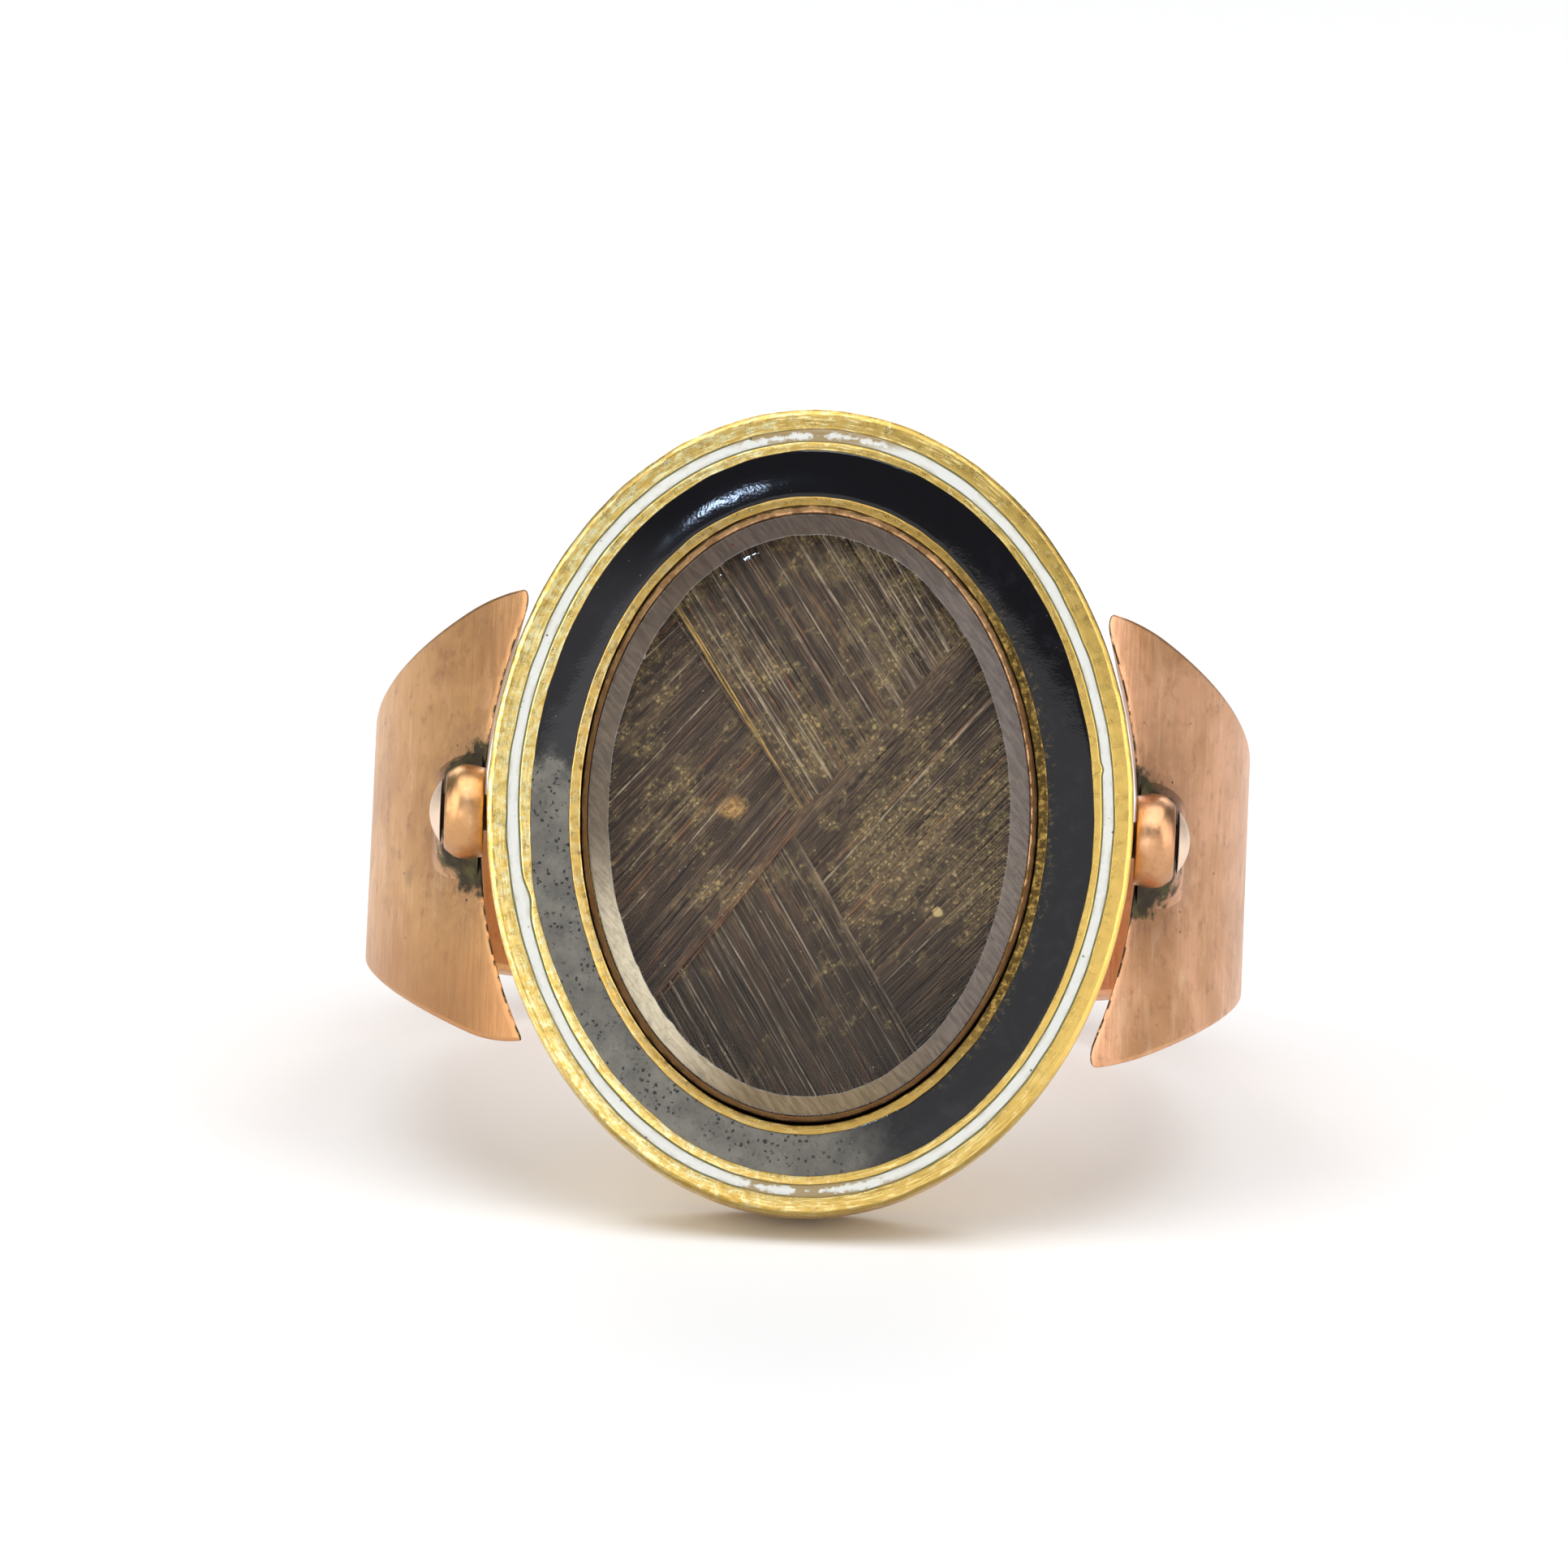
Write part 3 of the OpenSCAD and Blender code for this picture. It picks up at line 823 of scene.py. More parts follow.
    # The case's outer side wall is painted darker in mottled patches: painted shade.
    outside = f.times(f.ease(z, face - 0.12, face - 0.4), f.ease(inset, 0.4, 0.3))
    f.lay(WEAR_AND_LIGHT.side_wall_shade, outside, f.ease(f.noise(1.1, 4, 0.6), 0.40, 0.66, 0.10, 0.55))
    rough = f.plus(f.ease(f.noise(4, 4, 0.6), 0.3, 0.7, 0.24, 0.36), f.times(grime_and_well_shade, 0.4))
    relief = f.relief((f.noise(3.0, 1, 0.4), 0.016), (drawn, 0.006), (f.noise(26, 3, 0.7), 0.0015))
    return f.dress(Roughness=rough, Normal=relief)


def white_enamel(ring, p):
    """Milky white enamel with dark borders, pits and brown stains at its top and bottom."""
    f = Finish("white_enamel", IOR=1.52)
    x, y, _ = f.parts(f.place)
    half = ring.enamel.white_w / 2 / MM
    middle = (p.white_in + p.line_in) / 2 / MM
    off = f.unsigned(f.minus(f.parts(f.sweep)[0], middle))
    f.colour = f.blend(f.noise(0.8, 3), ring.tones.white, WEAR_AND_LIGHT.grey_white)
    f.lay(WEAR_AND_LIGHT.white_border, f.ease(off, half - 0.036, half - 0.020))
    f.lay(WEAR_AND_LIGHT.white_soil, f.ease(off, half - 0.12, half - 0.02, 0, 0.5), f.ease(f.noise(3, 3), 0.4, 0.7))

    # The stain creeps in from the borders, crosses the band at its top and is weaker below.
    creeping = f.ease(off, half - 0.15, half - 0.02, -0.05, 0.13)
    crossing = f.times(f.ease(x, 0.75, 0.15, 0, 0.12), f.ease(x, -0.45, 0.0))
    blotted = f.plus(f.noise(2.4, 4, 0.65), creeping, crossing, f.ease(y, 1.0, -1.0, 0, -0.06))
    f.lay(WEAR_AND_LIGHT.brown_stain, f.ease(f.unsigned(y), 7.95, 8.25), f.ease(blotted, 0.47, 0.60), 0.92)

    pits = f.times(f.ease(f.cells(3.2), 0.11, 0.06), f.ease(f.noise(1.3, 2), 0.5, 0.58))
    f.lay(WEAR_AND_LIGHT.white_pit, pits)
    relief = f.relief((f.noise(5, 3), 0.004), (f.times(pits, -1.0), 0.02))
    return f.dress(Roughness=f.ease(f.noise(2, 3), 0.3, 0.7, 0.12, 0.3), Normal=relief)


def black_enamel(ring, p):
    """Black enamel, polished at the top and right and scuffed with pits at the lower left, where its grey
    haze is partly painted reflection; away from its top a mottled bloom lightens it, also partly painted
    reflection.
    """
    f = Finish("black_enamel", IOR=1.45)
    x, y, _ = f.parts(f.place)
    inset, east, north = f.parts(f.sweep)
    ragged = f.ease(f.noise(1.8, 5, 0.7), 0.3, 0.7, -0.05, 0.05)
    upper_end = f.ease(f.plus(north, f.times(ragged, 0.8)), 0.185, 0.095)
    lower_end = f.ease(f.plus(east, ragged), 0.42, -0.02)
    scuffed = f.times(upper_end, lower_end)
    # The grey haze at the lower left is scuffed enamel and partly painted reflection.
    haze_and_reflection = f.times(scuffed, f.ease(f.noise(1.6, 5, 0.6), 0.3, 0.7, 0.62, 1.0))
    f.colour = f.blend(haze_and_reflection, ring.tones.black, ring.tones.haze_and_reflection)
    # A mottled bloom lightens the enamel away from its top: partly painted reflection.
    f.lay(WEAR_AND_LIGHT.bloom_and_reflection, f.ease(f.noise(2.4, 5, 0.7, 0.5), 0.48, 0.75, 0, 0.12), f.ease(y, 7.0, 4.0))
    # Lighter grey towards the lower left, outside the haze.
    f.lay(WEAR_AND_LIGHT.lower_left_grey, f.ease(y, 6.6, 4.2, 0.0, 0.4), f.ease(x, 1.0, -4.0), f.minus(1.0, haze_and_reflection))
    pits = f.plus(f.cells(7.5), f.ease(f.noise(17, 2), 0.3, 0.7, -0.16, 0.16))
    pits = f.times(f.ease(pits, 0.28, 0.18), f.ease(f.noise(1.5, 3, 0.6), 0.42, 0.54), scuffed)
    f.lay(WEAR_AND_LIGHT.black_pit, pits)
    f.lay(WEAR_AND_LIGHT.black_grain, f.ease(f.noise(13, 4, 0.7), 0.57, 0.65), scuffed, 0.6)
    f.lay(WEAR_AND_LIGHT.pale_dust, f.ease(f.cells(4.4), 0.06, 0.03), f.ease(f.noise(1.7, 2), 0.56, 0.62), 0.5)
    inner = f.ease(inset, p.inner_in / MM - 0.28, p.inner_in / MM - 0.02)
    f.lay(WEAR_AND_LIGHT.olive_dust, inner, f.ease(x, 2.0, 4.4), f.ease(f.noise(7, 4, 0.75), 0.52, 0.68), 0.5)
    relief = f.relief((f.noise(1.2, 2), 0.004), (f.noise(16, 2, 0.6), 0.0007), (f.times(pits, -1.0), 0.02))
    return f.dress(Roughness=f.ease(haze_and_reflection, 0.0, 1.0, 0.055, 0.34), Normal=relief)


def collet_gold(ring, p):
    """Browned rose gold with painted shade along its outer edge and down its wall, and a bright line along
    its inner edge towards the upper right that is painted highlight.
    """
    f = Finish("collet_gold", Metallic=1.0)
    inset, east, north = f.parts(f.sweep)
    face, lip_in, collet_in = p.face_z / MM, p.lip_in / MM, p.collet_in / MM
    lip = f.ease(f.parts(f.place)[2], face - 0.25, face - 0.02)
    rusty = f.noise(3.0, 4, 0.65)
    inset = f.plus(inset, f.ease(f.noise(2.6, 4, 0.65), 0.3, 0.7, -0.02, 0.02))
    slope = f.plus(f.times(east, 0.6), f.times(north, 0.8))
    f.colour = f.blend(f.ease(north, 0.2, 0.9), ring.tones.copper, WEAR_AND_LIGHT.collet_top)
    f.lay(WEAR_AND_LIGHT.collet_rust, f.ease(rusty, 0.45, 0.65, 0, 0.6))
    # A bright line along the lip's inner edge, towards the upper right: painted highlight.
    line = f.ease(inset, lip_in - 0.055, lip_in - 0.025)
    f.lay(WEAR_AND_LIGHT.collet_line, line, f.ease(slope, -0.1, 0.6), f.ease(rusty, 0.62, 0.42))
    # Dark along the collet's outer edge by the gap: painted shade.
    f.lay(WEAR_AND_LIGHT.collet_gap_shade, f.ease(inset, collet_in + 0.055, collet_in + 0.025), 0.9)
    # The collet's wall below its lip is dark: painted shade in the well.
    f.lay(WEAR_AND_LIGHT.collet_wall, f.minus(1.0, lip))
    rough = f.ease(f.noise(6, 3), 0.3, 0.7, 0.3, 0.55)
    return f.dress(Roughness=rough, Normal=f.relief((f.noise(9, 3), 0.015)))


def pin_gold(p):
    """Polished pale rose gold, painted dark in the gap behind the rivet: painted shade."""
    f = Finish("pin_gold", Metallic=1.0)
    out = f.unsigned(f.parts(f.place)[0])
    f.colour = f.blend(f.noise(3, 3), WEAR_AND_LIGHT.pin, WEAR_AND_LIGHT.pin_warm)
    # Dark in the gap behind the rivet: painted shade.
    f.lay(WEAR_AND_LIGHT.gap_shade, f.ease(out, p.rivet_x / MM + 0.035, p.rivet_x / MM + 0.01))
    rough = f.ease(f.noise(5, 3), 0.3, 0.7, 0.46, 0.56)
    return f.dress(Roughness=rough, Normal=f.relief((f.noise(7, 3), 0.006)))


def crystal_glass(ring, p):
    """Clear crystal with a frosted, worn bevel, fine scratches and painted reflection. Rays from lamps pass
    straight through.
    """
    f = Finish("crystal_glass", Transmission_Weight=1.0, IOR=1.2)
    inset, east, north = f.parts(f.sweep)
    face, table_in = p.face_z / MM, p.table_in / MM
    top = f.ease(f.parts(f.place)[2], face - 0.02, face + 0.02)
    bevel = f.times(f.ease(inset, table_in + 0.01, table_in - 0.02), top)
    scoured = f.noise(1.0, 4, 0.65, 0.4, f.slanted(-0.85, 2.2, 15.0))
    low_left = f.ease(f.plus(f.times(east, -0.78), f.times(north, -0.626)), 0.80, 1.02)
    scuffs = f.ease(f.noise(5.0, 5, 0.7, 0.6), 0.30, 0.55, 0.12, 0.38)
    worn = f.plus(f.ease(scoured, 0.36, 0.64, 0.36, 0.60), f.times(low_left, scuffs))
    # The bevel's colours are painted reflection: darker at the top, paler below and at the left, greyer at
    # the right, creamy at the lower left.
    f.colour = f.blend(f.ease(north, -0.9, 1.0), WEAR_AND_LIGHT.bevel_low, WEAR_AND_LIGHT.bevel_high)
    f.lay(WEAR_AND_LIGHT.bevel_left, f.ease(east, -0.6, -0.95, 0, 0.6))
    f.lay(ring.tones.frost_reflection, f.ease(east, 0.2, 0.8, 0, 0.8))
    f.lay(WEAR_AND_LIGHT.bevel_cream, low_left)
    f.lay(WEAR_AND_LIGHT.bevel_spot, f.ease(f.cells(2.3), 0.12, 0.07), f.ease(f.noise(1.9, 2), 0.50, 0.60))
    f.lay(ring.tones.glass, f.minus(1.0, bevel))
    scratch = f.noise(1.0, 2, 0.5, 1.5, f.vector("MULTIPLY", f.place, (1.2, 16, 1)))
    relief = f.relief((f.noise(1.5, 2), 0.003), (f.ease(scratch, 0.66, 0.72), 0.0015))
    clear = f.minus(1.0, f.times(bevel, worn))
    f.dress(Roughness=f.plus(0.015, f.times(bevel, 0.26)), Transmission_Weight=clear, Normal=relief)
    lamp_ray = f.add("ShaderNodeLightPath").outputs["Is Shadow Ray"]
    see_through = f.add("ShaderNodeBsdfTransparent").outputs[0]
    mixed = f.add("ShaderNodeMixShader", {0: lamp_ray, 1: f.shader.outputs[0], 2: see_through})
    f.set(f.tree.nodes["Material Output"], {"Surface": mixed.outputs[0]})
    return f.material


def plaited_hair(ring, p):
    """Dark brown strands, each with its own tone, under patches of olive mould and specks of dust.

    The sweep holds a strand's kind, from dark to golden, the way along it and a number of its own.
    """
    tones = ring.tones
    f = Finish("plaited_hair", Specular_IOR_Level=0.22)
    x, y, _ = f.parts(f.place)
    stops = [(0.0, tones.hair_dark), (0.30, tones.hair), (0.62, WEAR_AND_LIGHT.hair_warm), (0.74, tones.hair_red)]
    stops += [(0.82, WEAR_AND_LIGHT.hair_grey), (0.93, tones.hair_light), (0.97, WEAR_AND_LIGHT.hair_golden)]
    f.colour = f.ramp(f.parts(f.sweep)[0], stops)
    along = f.noise(1.0, 4, 0.65, at=f.vector("MULTIPLY", f.sweep, (40, 1.6, 1)))
    f.lay(tones.hair_dark, f.ease(along, 0.36, 0.62, 0, 0.72))
    dimmed = f.vector("MULTIPLY", f.colour, (0.45, 0.45, 0.45))
    f.lay(dimmed, f.ease(y, -1.6, -4.5, 0, 0.8))

    # The mould lies in clumps along one strip's strands, with less of it at the left and below.
    clumps = f.noise(1.0, 6, 0.78, at=f.slanted(0.85, 1.1, 2.4))
    patchy = f.ease(f.noise(0.8, 4, 0.65, 0.4), 0.35, 0.65, -0.10, 0.07)
    mostly = f.plus(clumps, patchy, f.ease(x, -3.0, 3.0, -0.02, 0.03), f.ease(y, -1.5, -3.5, 0.0, -0.11))
    grainy = f.noise(10.0, 4, 0.8)
    powder = f.sums("MAXIMUM", f.grains(6.5, 0.0, 0.30), f.times(f.grains(13.0, 0.05, 0.40), 0.8))
    powder = f.plus(f.times(powder, 0.75), f.ease(grainy, 0.42, 0.64, 0.0, 0.34))
    mould = f.times(f.ease(mostly, 0.45, 0.60), powder)
    f.lay(WEAR_AND_LIGHT.hair_veil, f.ease(mostly, 0.46, 0.66, 0.0, 0.16))
    f.lay(tones.mould, mould, 0.85)
    f.lay(WEAR_AND_LIGHT.hair_speck, f.ease(f.cells(4.6), 0.10, 0.05), f.ease(f.noise(2.1, 2), 0.48, 0.6), 0.8)

    strands_z = p.hair_z / MM + 0.13
    spot = f.near(f.place, (-1.77, 0.11, strands_z), 0.50, 0.04)
    spot = f.plus(spot, f.ease(clumps, 0.3, 0.7, -0.35, 0.35))
    f.lay(WEAR_AND_LIGHT.orange_spot, f.ease(spot, 0.2, 1.25), f.ease(grainy, 0.38, 0.58, 0.3, 1.0))
    beige = f.plus(f.near(f.place, (2.85, -2.13, strands_z), 0.17, 0.05), f.ease(grainy, 0.3, 0.7, -0.3, 0.3))
    f.lay(WEAR_AND_LIGHT.beige_spot, f.ease(beige, 0.3, 0.7))
    return f.dress(Roughness=f.plus(0.45, f.times(mould, 0.4)))


# A distance in millimetres from the shoulders' ends that is past all their marks.
FAR = 9.0


def band_half_width(y, ring, p):
    """Half the band's width at a distance behind the shoulders' centre: one long arc, then straight."""
    run = np.clip(ring.band.flare_depth - y, 0, None)
    return ring.band.back_w / 2 + p.flare_r - np.sqrt(p.flare_r**2 - run**2)


def half_band(ring, p, lower_tip, lower_droop, longer):
    """The right half of the hoop's wall: a section with rounded edges, carried from the arch to the tips.

    Across the section, s is the share of the width, k the rounding beyond it and r the way out of the wall.
    The path is a quarter circle, a straight side and a quarter circle towards the head, which ends where
    x = cut_a sqrt(1 - (z / cut_b)^2), so the ends follow the head's oval.
    """
    band = ring.band
    half = band.wall / 2
    theta = np.radians(np.linspace(90, 0, 6))
    faces = np.sin(np.linspace(-math.pi / 2, math.pi / 2, 41))
    s = np.concatenate([[-1], -np.ones(6), faces[1:-1], np.ones(6), [1]])
    k = band.edge_r * np.concatenate([[-1], -np.sin(theta), 0 * faces[1:-1], np.sin(theta[::-1]), [1]])
    bend = half - band.edge_r * (1 - np.cos(theta))
    r = np.concatenate([[half / 3], bend, half + 0 * faces[1:-1], bend[::-1], [half / 3]])
    s, k, r = np.concatenate([s, s[::-1]]), np.concatenate([k, k[::-1]]), np.concatenate([r, -r[::-1]])

    back = np.linspace(0, math.pi / 2, 44)
    side = np.linspace(0, 1, 9)[1:]
    front = np.linspace(0, 1, 46)[1:]
    fillet = np.radians(np.linspace(0, 90, 5))[1:]
    count = len(back) + len(side) + len(front) + len(fillet)
    shrink = np.zeros((count, 1))
    setback = np.full((count, 1), band.end_r)
    shrink[-4:, 0] = band.end_r * (1 - np.cos(fillet))
    setback[-4:, 0] = band.end_r * (1 - np.sin(fillet))

    rho = band.finger_r + half + r * (half - shrink) / half
    tip = np.where(s > 0, band.upper_tip, lower_tip)
    droop = np.where(s > 0, band.upper_droop, lower_droop)
    end = np.full(rho.shape, 0.9)
    for _ in range(14):
        width = band_half_width(-rho * np.sin(end), ring, p) - droop - shrink
        z = s * (width - band.edge_r) + k
        over = np.clip(np.abs(z) - (width - tip), 0, tip)
        corner = tip - np.sqrt(tip**2 - over**2)
        corner = corner - longer * np.clip(-2 * z / band.shoulder_w, 0, 1) ** 2
        end = np.arccos(p.cut_a * np.sqrt(1 - (z / p.cut_b) ** 2) / rho) - corner / rho

    b, sd = len(back), len(back) + len(side)
    x, y = np.empty(rho.shape), np.empty(rho.shape)
    x[:b] = rho[:b] * np.sin(back[:, None])
    y[:b] = p.side_len + rho[:b] * np.cos(back[:, None])
    x[b:sd] = rho[b:sd]
    y[b:sd] = p.side_len * (1 - side[:, None])
    share = np.concatenate([front, np.ones(len(fillet))])[:, None]
    reach = (end[sd:] - setback[sd:] / rho[sd:]) * share
    x[sd:] = rho[sd:] * np.cos(reach)
    y[sd:] = -rho[sd:] * np.sin(reach)
    from_end = np.full(rho.shape, FAR * MM)
    from_end[sd:] = (end[sd:] - reach) * rho[sd:]
    droop = droop * np.clip(1 - from_end / band.droop_run, 0, 1) ** 2
    z = s * (band_half_width(y, ring, p) - droop - shrink - band.edge_r) + k
    return np.stack([x, y, z], -1), from_end, np.where(r > -0.5 * half, 1.0, 0.0)


def band_shape(ring, p):
    """The hoop's wall, of a right half and a mirrored left half whose lower tips differ."""
    band = ring.band
    right, from_end, outside = half_band(ring, p, band.right_tip, band.right_droop, 0.0)
    left, _, _ = half_band(ring, p, band.left_tip, band.left_droop, band.long_tip)
    left = left[:0:-1] * np.array([-1, 1, 1])
    rows = np.concatenate([left, right])
    away = np.concatenate([from_end[:0:-1], from_end]) / MM
    around = rows.shape[1]
    quads = grid_quads(rows.shape[0], around, False, True)
    j = np.arange(around // 2 - 1)
    strip = np.stack([j, j + 1, around - 2 - j, around - 1 - j], -1)
    caps = [strip[:, ::-1], strip + (rows.shape[0] - 1) * around]
    points = rows.reshape(-1, 3)
    outer = np.broadcast_to(outside, rows.shape[:2])
    sweep = np.stack([away, outer, np.zeros(outer.shape)], -1).reshape(-1, 3)
    return shape(points, lay_upright(points, p), [quads] + caps, sweep)


def turned(outline, p, closed, side):
    """An outline of (x, radius) turned round the pins' axis, on the right side or mirrored to the left."""
    phi = np.linspace(0, 2 * math.pi, 72, endpoint=False)
    x, radius = outline.T[..., None]
    y, z = radius * np.cos(phi) - p.pivot_out, radius * np.sin(phi)
    return skin(np.stack(np.broadcast_arrays(side * x, y, z), -1), closed)


def barrel(p, side):
    """A knuckle: a bored barrel that bulges a little, with a soft outer edge and a slightly hollow end."""
    r, bore = p.knuckle_r, p.bore_r
    x0, x1 = p.knuckle_x - 0.12 * MM, p.knuckle_end - 0.015 * MM
    corners = [
        # along the pin, radius, rounding
        (x0, bore, 0),
        (x0, r - 0.07 * MM, 0.07 * MM),
        (x0 + 0.30 * MM, r, 0.14 * MM),
        (x1 - 0.30 * MM, r - 0.01 * MM, 0.16 * MM),
        (x1 - 0.02 * MM, r - 0.22 * MM, 0.22 * MM),
        (x1 - 0.03 * MM, p.rivet_edge - 0.05 * MM, 0.1 * MM),
        (x1 - 0.02 * MM, bore, 0.02 * MM),
    ]
    outline = divided(rounded(corners, 5, True), 0.12 * MM, True)
    points, faces = turned(outline, p, True, side)
    sweep = np.tile([FAR, 1.0, 1.0], (len(points), 1))
    return shape(points, lay_upright(points, p), faces, sweep)


def solder(p, side):
    """The solder under a knuckle: a saddle that climbs from the shoulder to the barrel.

    At each station along the pin, its height over the band is a bell across the band's width.
    """
    along = np.linspace(0, 1, 13)[:, None]
    x = p.knuckle_x + 0.01 * MM + along * (p.knuckle_end - p.knuckle_x + 0.30 * MM)
    across = np.linspace(-1, 1, 41)
    reach = (1.72 - 0.5 * along**1.5) * MM
    z = across * reach
    seat = -np.sqrt(p.band_r**2 - x**2) + 0.14 * MM
    bell = np.clip(1 - np.abs(across) ** 1.7, 0, 1) ** 1.25
    fade = np.clip((1 - along) / 0.32, 0, 1) ** 0.6
    lift = (seat + p.pivot_out - 0.25 * MM) * bell * fade
    upper = np.stack(np.broadcast_arrays(x, seat - lift, z), -1)
    lower = np.stack(np.broadcast_arrays(x, seat + 0.25 * MM, z), -1)[:, ::-1]
    rows = np.concatenate([upper, lower], 1) * np.array([side, 1, 1])
    points, faces = skin(rows, False)
    sweep = np.tile([FAR, 1.0, 0.0], (len(points), 1))
    return shape(points, lay_upright(points, p), faces, sweep)


class RING_OT_band(Operator):
    """Add the rose gold band with its knuckles"""

    bl_idname = "mourning_ring.band"
    bl_label = "Band"

    def execute(self, context):
        ring = context.scene.mourning_ring
        p = plan(ring)
        shapes = [band_shape(ring, p)]
        for side in (-1, 1):
            shapes += [barrel(p, side), solder(p, side)]
        put("band", join(shapes), rose_gold(ring, p), "shank", "rose_gold", "shank")
        return {"FINISHED"}


class RING_OT_pins(Operator):
    """Add the pivot pins with their domed rivet heads"""

    bl_idname = "mourning_ring.pins"
    bl_label = "Pivot pins"

    def execute(self, context):
        ring = context.scene.mourning_ring
        p = plan(ring)
        finish = pin_gold(p)
        rivet, high = p.rivet_edge, ring.pivot.rivet_h
        ball = (rivet**2 + high**2) / (2 * high)
        radius = rivet * np.cos(np.linspace(0.12, math.pi / 2 - 0.06, 14))
        dome = np.stack([p.rivet_x + high - ball + np.sqrt(ball**2 - radius**2), radius], -1)
        chamfer = 0.03 * MM
        stem = rounded([
            # along the pin, radius, rounding
            (p.pin_tip, p.pin_r * 0.5, 0),
            (p.pin_tip, p.pin_r, chamfer),
            (p.rivet_x, p.pin_r, 0.01 * MM),
            (p.rivet_x, rivet - chamfer, chamfer),
            (p.rivet_x + chamfer / 2, rivet, 0),
        ])
        for side, name in ((-1, "pivot_pin_left"), (1, "pivot_pin_right")):
            points, faces = turned(np.concatenate([stem, dome]), p, False, side)
            made = shape(points, lay_upright(points, p), faces)
            put(name + "_dressed", made, finish, "head", "pin_gold", name)
        return {"FINISHED"}


class RING_OT_case(Operator):
    """Add the gold case with its rims, channels and well"""

    bl_idname = "mourning_ring.case"
    bl_label = "Case"

    def execute(self, context):
        ring = context.scene.mourning_ring
        p = plan(ring)
        head, enamel = ring.head, ring.enamel
        face, under = p.face_z, p.face_z - head.plate
        bottom = face - ring.crystal.well_depth
        wall_in = head.taper + head.wall
        flat_w = 2.5 * MM
        crisp, soft = 0.03 * MM, 0.05 * MM
        corners = [
            # inset, height, rounding
            (p.well_in + flat_w, bottom, 0),
            (p.well_in, bottom, soft),
            (p.well_in, face, 0.045 * MM),
            (p.inner_in, face, 0.035 * MM),
            (p.inner_in, face - enamel.black_depth, crisp),
            (p.black_in, face - enamel.black_depth, crisp),
            (p.black_in, face, 0.04 * MM),
            (p.line_in, face, 0.04 * MM),
            (p.line_in, face - enamel.white_depth, crisp),
            (p.white_in, face - enamel.white_depth, crisp),
            (p.white_in, face, 0.035 * MM),
            (0.11 * MM, face, 0.03 * MM),
            (0.0, face - 0.08 * MM, 0.05 * MM),
            (0.0, under, 0.2 * MM),
            (head.taper, -p.face_z, 0.12 * MM),
            (wall_in, -p.face_z, soft),
            (wall_in, under, soft),
            (wall_in + flat_w, under, 0),
        ]
        made = head_shape(*sweep_oval(corners, 3, 0.14 * MM, ring, p), ring)
        put("gold_case", made, case_gold(ring, p, "yellow_gold"), "head", "yellow_gold", "head_case")
        return {"FINISHED"}


class RING_OT_case_back(Operator):
    """Add the plain back plate, let into the case"""

    bl_idname = "mourning_ring.case_back"
    bl_label = "Back plate"

    def execute(self, context):
        ring = context.scene.mourning_ring
        p = plan(ring)
        edge = ring.head.taper + ring.head.wall + ring.head.gap
        inside = ring.head.back - p.face_z
        corners = [
            # inset, height, rounding
            (edge + 3.0 * MM, inside, 0),
            (edge, inside, 0.03 * MM),
            (edge, -p.face_z, 0.07 * MM),
            (edge + 1.2 * MM, -p.face_z, 0.6 * MM),
            (edge + 5.5 * MM, -p.face_z, 0),
        ]
        # Directions meet in the plate's middle, so its sweep tells the place across it instead.
        rows, sweep = sweep_oval(corners, 3, 0.4 * MM, ring, p)
        sweep[:, :, 1:] = rows[:, :, :2] / (p.a, p.b)
        made = head_shape(rows, sweep, ring)
        put("back_plate", made, case_gold(ring, p, "back_gold"), "head", "back_gold", "case_back")
        return {"FINISHED"}


class RING_OT_enamels(Operator):
    """Add the white and the black enamel in their channels"""

    bl_idname = "mourning_ring.enamels"
    bl_label = "Enamels"

    def execute(self, context):
        ring = context.scene.mourning_ring
        p = plan(ring)
        top = p.face_z - ring.enamel.sink
        seat, crown = 0.015 * MM, 0.012 * MM
        bands = [
            # name, outer border, inner border, depth of the channel, finish
            ("white_enamel", p.white_in, p.line_in, ring.enamel.white_depth, white_enamel(ring, p)),
            ("black_enamel", p.black_in, p.inner_in, ring.enamel.black_depth, black_enamel(ring, p)),
        ]
        for name, outer, inner, depth, finish in bands:
            foot = p.face_z - depth + ring.head.gap
            third = (inner - outer) / 3
            corners = [
                # inset, height, rounding
                (outer - seat, foot, 0.02 * MM),
                (outer - seat, top, 0.01 * MM),
                (outer + third, top + crown, third / 2),
                (inner - third, top + crown, third / 2),
                (inner + seat, top, 0.01 * MM),
                (inner + seat, foot, 0.02 * MM),
            ]
            made = head_shape(*sweep_oval(corners, 3, 0.15 * MM, ring, p, True), ring, True)
            put(name + "_band", made, finish, "head", name, name)
        return {"FINISHED"}


class RING_OT_collet(Operator):
    """Add the thin collet that holds the crystal"""

    bl_idname = "mourning_ring.collet"
    bl_label = "Collet"

    def execute(self, context):
        ring = context.scene.mourning_ring
        p = plan(ring)
        lip = p.face_z + 0.02 * MM
        corners = [
            # inset, height, rounding
            (p.collet_in, p.hair_z, 0.02 * MM),
            (p.collet_in, lip, 0.05 * MM),
            (p.lip_in, lip - 0.01 * MM, 0.04 * MM),
            (p.lip_in, p.hair_z, 0.02 * MM),
        ]
        # The lip's height wavers, and less and less of that reaches down the wall.
        rows, sweep = sweep_oval(corners, 4, 0.12 * MM, ring, p, True, 0.5)
        high = np.clip((rows[..., 2] - (lip - 0.3 * MM)) / (0.25 * MM), 0, 1)
        rows[..., 2] += high * wave(TURN, 31, 0.018 * MM, 9, 90)
        made = head_shape(rows, sweep, ring, True)
        put("collet", made, collet_gold(ring, p), "head", "collet_gold", "crystal_collet")
        return {"FINISHED"}


